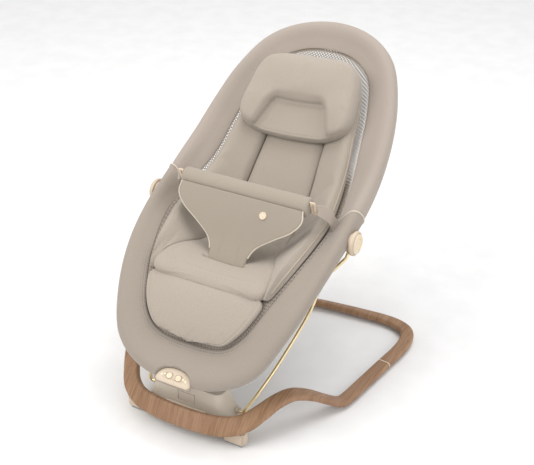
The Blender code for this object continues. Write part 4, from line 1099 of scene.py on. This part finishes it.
def make_side_straps():
    """Webbing from each buckle to the rim, turning from upright to the rim's slope."""
    wide, thick, lean = 0.0115, 0.0009, math.radians(20)
    section = flat_section(28, wide, thick, 0.25, 0.6)
    goal = rim_edge(RIM_INNER, np.array(5.75)) + np.array((0.002, 0.0, 0.012))
    run = np.linspace(0, 4, 40)
    turn = (run / 4)[:, None]
    upright = np.array((0, -math.sin(lean), math.cos(lean)))
    for side, sign in SIDES:
        low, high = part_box("slot_buckle_" + side)
        first = np.array((max(abs(low.x), abs(high.x)) - 0.0035, ROLL[1], ROLL[2]))
        line = smooth([first, first + np.array((0.011, 0.004, -0.003)),
                       first * 0.35 + goal * 0.65 + np.array((0.006, 0, 0.006)), goal,
                       goal + np.array((0.012, 0.008, -0.012))], run)
        ahead = unit(np.gradient(line, axis=0))
        edge = upright * (1 - turn) + np.array((0, 0.75, 0.65)) * turn
        edge = unit(edge - ahead * (ahead * edge).sum(1, keepdims=True))
        face = unit(np.cross(ahead, edge))
        rings = np.array([[p + e * a + f * b for a, b in section]
                          for p, e, f in zip(line, edge, face)])
        rings[..., 0] *= sign
        strap = loft("side_webbing_" + side, rings, WEBBING)
        settle(strap, "taupe_knit", "seat", "side_strap_" + side)


def make_crotch_strap():
    """The strap that runs from under the panel down into its slot."""
    section = flat_section(32, 0.0385, 0.0019, 0.2, 0.7)
    rings = [[PANEL_FOOT + HARNESS_DOWN * (0.018 * k / 7 - 0.002) + np.array((a, 0, 0))
              + HARNESS_OFF * b for a, b in section] for k in range(8)]
    settle(loft("crotch_strap_cover", rings, HARNESS), "taupe_knit", "seat", "crotch_strap",
           fill=0.3)


make_roll()
make_panel()
make_side_straps()
make_crotch_strap()

# ---- turned and moulded details -------------------------------------------------------

HUB_Y, HUB_Z = -0.0420, 0.344
WIRE_DRAWN = 0.0035             # radius, a little over the solid's
PEDESTAL_LOW, PEDESTAL_TALL = 0.020, 0.076


def turned(name, profile, centre, axis, coat, sides=48, sharp=35):
    """Piece turned from (along, radius) pairs about an axis through centre."""
    axis = unit(np.asarray(axis, float))
    helper = np.array((0.0, 0.0, 1.0)) if abs(axis[2]) < 0.9 else np.array((0.0, 1.0, 0.0))
    one = unit(np.cross(axis, helper))
    two = np.cross(axis, one)
    angle = np.arange(sides) * TAU / sides
    rings = [centre + axis * a + (np.cos(angle)[:, None] * one + np.sin(angle)[:, None] * two)
             * r for a, r in profile]
    return loft(name, rings, coat, sharp=sharp)


def hub_span(node):
    """Least |x|, depth, radius and centre of a round piece on the hubs' axis."""
    low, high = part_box(node)
    near, far = sorted((abs(low.x), abs(high.x)))
    return near, far - near, (high.z - low.z) / 2, ((low.y + high.y) / 2,
                                                    (low.z + high.z) / 2)


def make_hubs():
    """Each hub's bored shell, and the recline button with its sign."""
    for side, sign in SIDES:
        near, deep, radius, (y, z) = hub_span("hub_housing_" + side)
        centre = np.array((0.0, y, z))
        neck, bore = radius * 0.80, radius - 0.0034
        profile = [(-0.0060, neck - 0.0010), (0.0, neck), (deep * 0.42, neck),
                   (deep * 0.46, neck + 0.0006), (deep * 0.47, radius - 0.0020),
                   (deep * 0.52, radius - 0.0004), (deep * 0.60, radius),
                   (deep - 0.0030, radius), (deep - 0.0010, radius - 0.0009),
                   (deep, radius - 0.0024), (deep, bore), (deep - 0.0070, bore),
                   (deep - 0.0072, 0.0120), (0.0024, 0.0120)]
        shell = turned("hub_shell_" + side, [(sign * (near + a), r) for a, r in profile],
                       centre, (1, 0, 0), CREAM, 64)
        settle(shell, "cream_plastic", "spring_frame", "hub_housing_" + side)
        near, deep, r, _ = hub_span("recline_button_" + side)
        profile = [(0.0, r - 0.001), (deep - 0.0040, r), (deep - 0.0022, r - 0.0005),
                   (deep - 0.0012, r - 0.0018), (deep - 0.0009, r * 0.80),
                   (deep - 0.0013, r * 0.77), (deep - 0.0009, r * 0.73),
                   (deep - 0.0003, r * 0.45), (deep, r * 0.12)]
        disc = turned("hub_button_" + side, [(sign * (near + a), q) for a, q in profile],
                      centre, (1, 0, 0), PALE, 64)
        settle(disc, "cream_plastic", "button_" + side, "recline_button_" + side)
        mark = hub_mark("recline_mark_" + side, centre + (sign * (near + deep - 0.0002), 0, 0), r)
        settle(mark, "gold_wire", "button_" + side)


def hub_mark(name, centre, r):
    """Raised recline sign: a reclining line between two short arcs with an arrow head."""
    strokes = [[(-0.30, -0.26), (-0.02, -0.20), (0.10, 0.08), (0.30, 0.36)]]
    for start, stop in ((0.45, 1.05), (-1.0, -0.25)):
        angles = np.linspace(start, stop, 9) * math.pi / 2
        strokes.append([(0.56 * math.cos(a), 0.56 * math.sin(a)) for a in angles])
    strokes.append([(0.46, 0.46), (0.42, 0.32), (0.28, 0.44)])
    made = []
    for stroke in strokes:
        spots = [centre + (0.0, a * r, b * r) for a, b in stroke]
        path = smooth(spots, np.linspace(0, len(spots) - 1, 14))
        made.append(tube("stroke", path, 0.0011, GOLD, 8))
    return join(name, made)


def make_wire():
    """The one bent wire, rounder than its solid, along the same route."""
    foot_y, foot_z, bend = -0.2650, 0.046, 0.006
    hub_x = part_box("spring_wire")[1].x - 0.0032
    share = (foot_z - PEDESTAL_LOW) / PEDESTAL_TALL
    elbow = 0.076 + 0.030 * (1 - share) ** 1.8 + 0.00075 + 0.0185
    t = smooth(WIRE_ROUTE, np.linspace(0, len(WIRE_ROUTE) - 1, 70))
    route = np.stack([elbow + (hub_x - elbow) * t[:, 0], t[:, 1], t[:, 2]], -1)
    hub = np.array((hub_x, HUB_Y, HUB_Z))
    keep = route[np.linalg.norm(route - hub, axis=1) > 0.0262]
    last = unit(keep[-1] - hub)
    angle = np.linspace(0, math.pi / 2, 8)[:-1]
    corner = np.stack([elbow - bend + bend * np.sin(angle), np.full(7, foot_y),
                       foot_z + bend - bend * np.cos(angle)], -1)
    cross = np.stack([np.linspace(0.004, elbow - bend - 0.002, 12), np.full(12, foot_y),
                      np.full(12, foot_z)], -1)
    right = np.vstack([cross, corner, keep[6:], hub + last * 0.020, hub + last * 0.013])
    wire = tube("gold_spring_wire", np.vstack([right[::-1] * (-1, 1, 1), right]), WIRE_DRAWN,
                GOLD, 20)
    settle(wire, "gold_wire", "spring_frame", "spring_wire")


def rounded(width, height, corner, count=5):
    """Points round a rectangle with rounded corners."""
    points = []
    for su, sv, start in ((1, 1, 0), (-1, 1, 90), (-1, -1, 180), (1, -1, 270)):
        for k in range(count + 1):
            a = math.radians(start + 90 * k / count)
            points.append((su * (width / 2 - corner) + corner * math.cos(a),
                           sv * (height / 2 - corner) + corner * math.sin(a)))
    return points


def band_rings(stations, count, gap=0.0016):
    """Sections of the floor band, stopping a gap short of the joint ring at both ends."""
    line = np.array([(k * BASE_HALF_WIDTH, y, z) for k, y, z, _, _ in stations])
    facts = np.array([(w, t, 0.0) for _, _, _, w, t in stations])
    s = np.linspace(0, len(line) - 1, count)
    spot, more = smooth(line, s), smooth(facts, s)
    spot[0] += unit(spot[1] - spot[0]) * gap
    spot[-1] -= unit(spot[-1] - spot[-2]) * gap
    rings = []
    for k in range(count):
        ahead = unit(spot[min(k + 1, count - 1)] - spot[max(k - 1, 0)])
        inward = unit(np.cross((0, 0, 1), ahead))
        upward = unit(np.cross(ahead, inward))
        angle = math.radians(more[k, 1])
        across = upward * math.sin(angle) - inward * math.cos(angle)
        normal = upward * math.cos(angle) + inward * math.sin(angle)
        rings.append([spot[k] + across * u + normal * v
                      for u, v in rounded(more[k, 0], BAND_THICKNESS, BAND_THICKNESS * 0.42)])
    return rings


def make_band():
    front = [(-p[0], *p[1:]) for p in reversed(BAND_FRONT[1:])] + BAND_FRONT
    rear = BAND_REAR + [(-p[0], *p[1:]) for p in reversed(BAND_REAR[:-1])]
    for part, stations, count in (("front", front, 260), ("rear", rear, 160)):
        settle(loft("wood_band_" + part, band_rings(stations, count), WOOD), "wood_band",
               "base", "base_band_" + part)


def key_strokes():
    """Generic signs on the keys: a broken ring with a bar, and three waves."""
    height = 0.0056
    angles = np.linspace(-1.15, 1.15, 14) * math.pi / 1.4 - math.pi / 2
    ring = [unit_spot(0.0027 * math.cos(a) - KEY_X, height, KEY_UP + 0.0027 * math.sin(a))
            for a in angles]
    bar = [unit_spot(-KEY_X, height, KEY_UP + 0.0008 + k) for k in (0.0, 0.0012, 0.0024)]
    waves = [[unit_spot(KEY_X + k, height, KEY_UP + shift + 0.0006 * math.sin(k * 1500))
              for k in np.linspace(-0.0030, 0.0030, 9)] for shift in (-0.0016, 0.0, 0.0016)]
    return [(ring, "power_key"), (bar, "power_key"), *((wave, "mode_key") for wave in waves)]


def make_panel_face():
    """Control panel as a low pebble, with generic signs and a light on it."""
    levels = [(0.0, 1.0), (0.0014, 1.0), (0.0026, 0.988), (0.0034, 0.955), (0.0039, 0.90),
              (0.0042, 0.70), (0.0043, 0.35), (0.0043, 0.05)]
    base = np.array(half_moon(44))
    middle = base.mean(0)
    rings = [[unit_spot(u, out, v) for u, v in middle + (base - middle) * k]
             for out, k in levels]
    face = loft("control_panel_face", rings, CREAM, sharp=50)
    for x in (-KEY_X, KEY_X):
        boolean(face, turned("well", [(-0.0020, KEY_WELL), (0.0100, KEY_WELL)],
                             unit_spot(x, 0.0, KEY_UP), UNIT_OUT, CREAM, 32))
    settle(face, "cream_plastic", "seat", "control_panel")
    for k, (stroke, body) in enumerate(key_strokes()):
        path = smooth(stroke, np.linspace(0, len(stroke) - 1, 20))
        settle(tube(f"key_mark_{k}", path, 0.00038, GOLD, 6), "gold_wire", body)
    for k, (x, up) in enumerate(((-0.026, 0.0015), (-0.020, 0.0035), (0.020, 0.0035),
                                 (0.026, 0.0015))):
        dot = turned(f"panel_dot_{k}", [(0.0, 0.0011), (0.0004, 0.0010), (0.0005, 0.0002)],
                     unit_spot(x, 0.0040, up), UNIT_OUT, GOLD, 16)
        settle(dot, "gold_wire", "seat")
    light = turned("panel_light", [(0.0, 0.0016), (0.0005, 0.0015), (0.0007, 0.0004)],
                   unit_spot(0.004, 0.0034, -0.0085), UNIT_OUT, LINE, 20)
    settle(light, "dark_plastic", "seat")


def make_stud():
    """Plain press stud with a raised rim and a low middle."""
    profile = [(-0.0020, 0.0072), (0.0000, 0.0076), (0.0010, 0.0074), (0.0016, 0.0066),
               (0.0013, 0.0058), (0.0008, 0.0053), (0.0008, 0.0034), (0.0014, 0.0028),
               (0.0016, 0.0010)]
    centre = panel_point(np.array(0.20), np.array(0.056), np.array(0.0050))
    settle(turned("press_stud", profile, centre, HARNESS_OFF, PALE, 40), "cream_plastic",
           "harness", "panel_stud")


def make_cover_line():
    """Dark slit round the access cover in the pedestal's leaning front."""
    low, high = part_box("access_cover")
    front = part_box("pedestal_shell")[0].y + 0.0030
    x, z = (low.x + high.x) / 2, (low.z + high.z) / 2
    points = [(x + u, front + (z + v - PEDESTAL_LOW) / PEDESTAL_TALL * 0.004, z + v)
              for u, v in rounded(high.x - low.x + 0.0008, high.z - low.z + 0.0008, 0.003)]
    settle(tube("cover_slit", ring_through(points, 160), 0.0006, LINE, 6, closed=True),
           "dark_plastic", "base")


make_hubs()
make_wire()
make_band()
make_panel_face()
make_stud()
make_cover_line()

# ---- carried-over solids --------------------------------------------------------------


def dress(names, coat, bevel=0.0):
    """Gives CAD solids their material, welded smooth shading and eased edges."""
    sharp = math.radians(38)
    for name in names.split():
        obj = NODES[name]
        obj.data.materials.clear()
        obj.data.materials.append(coat)
        obj.modifiers.new("weld", "WELD").merge_threshold = 0.00002
        if bevel:
            ease = obj.modifiers.new("ease", "BEVEL")
            ease.width, ease.segments = bevel, 2
            ease.limit_method, ease.angle_limit = "ANGLE", sharp
        obj.modifiers.new("smooth", "EDGE_SPLIT").split_angle = sharp
        obj.data.shade_smooth()


dress("band_joint_ring_R band_joint_ring_L slot_buckle_R slot_buckle_L", PALE)
dress("power_button mode_button", PALE)
dress("front_foot_R front_foot_L control_case", CREAM, 0.0006)
dress("hub_boss_R hub_boss_L", CREAM)
dress("pedestal_shell pedestal_floor access_cover band_bracket", PEDESTAL)
dress("wire_clamp wire_bush_R wire_bush_L", PEDESTAL)
dress("foot_sole_R foot_sole_L rail_pad_R rail_pad_L rear_foot", SOLE)
dress("button_spring_R button_spring_L seat_tube_lower seat_tube_upper", STEEL)
dress("vibration_motor motor_weight", STEEL)
dress("battery_pack", DARK)
dress("control_board", BOARD)

FLOOR_HALF = 8.0
build("floor", [(x * FLOOR_HALF, y * FLOOR_HALF, 0)
                         for x, y in ((-1, -1), (1, -1), (1, 1), (-1, 1))],
               [(0, 1, 2, 3)], FLOOR)
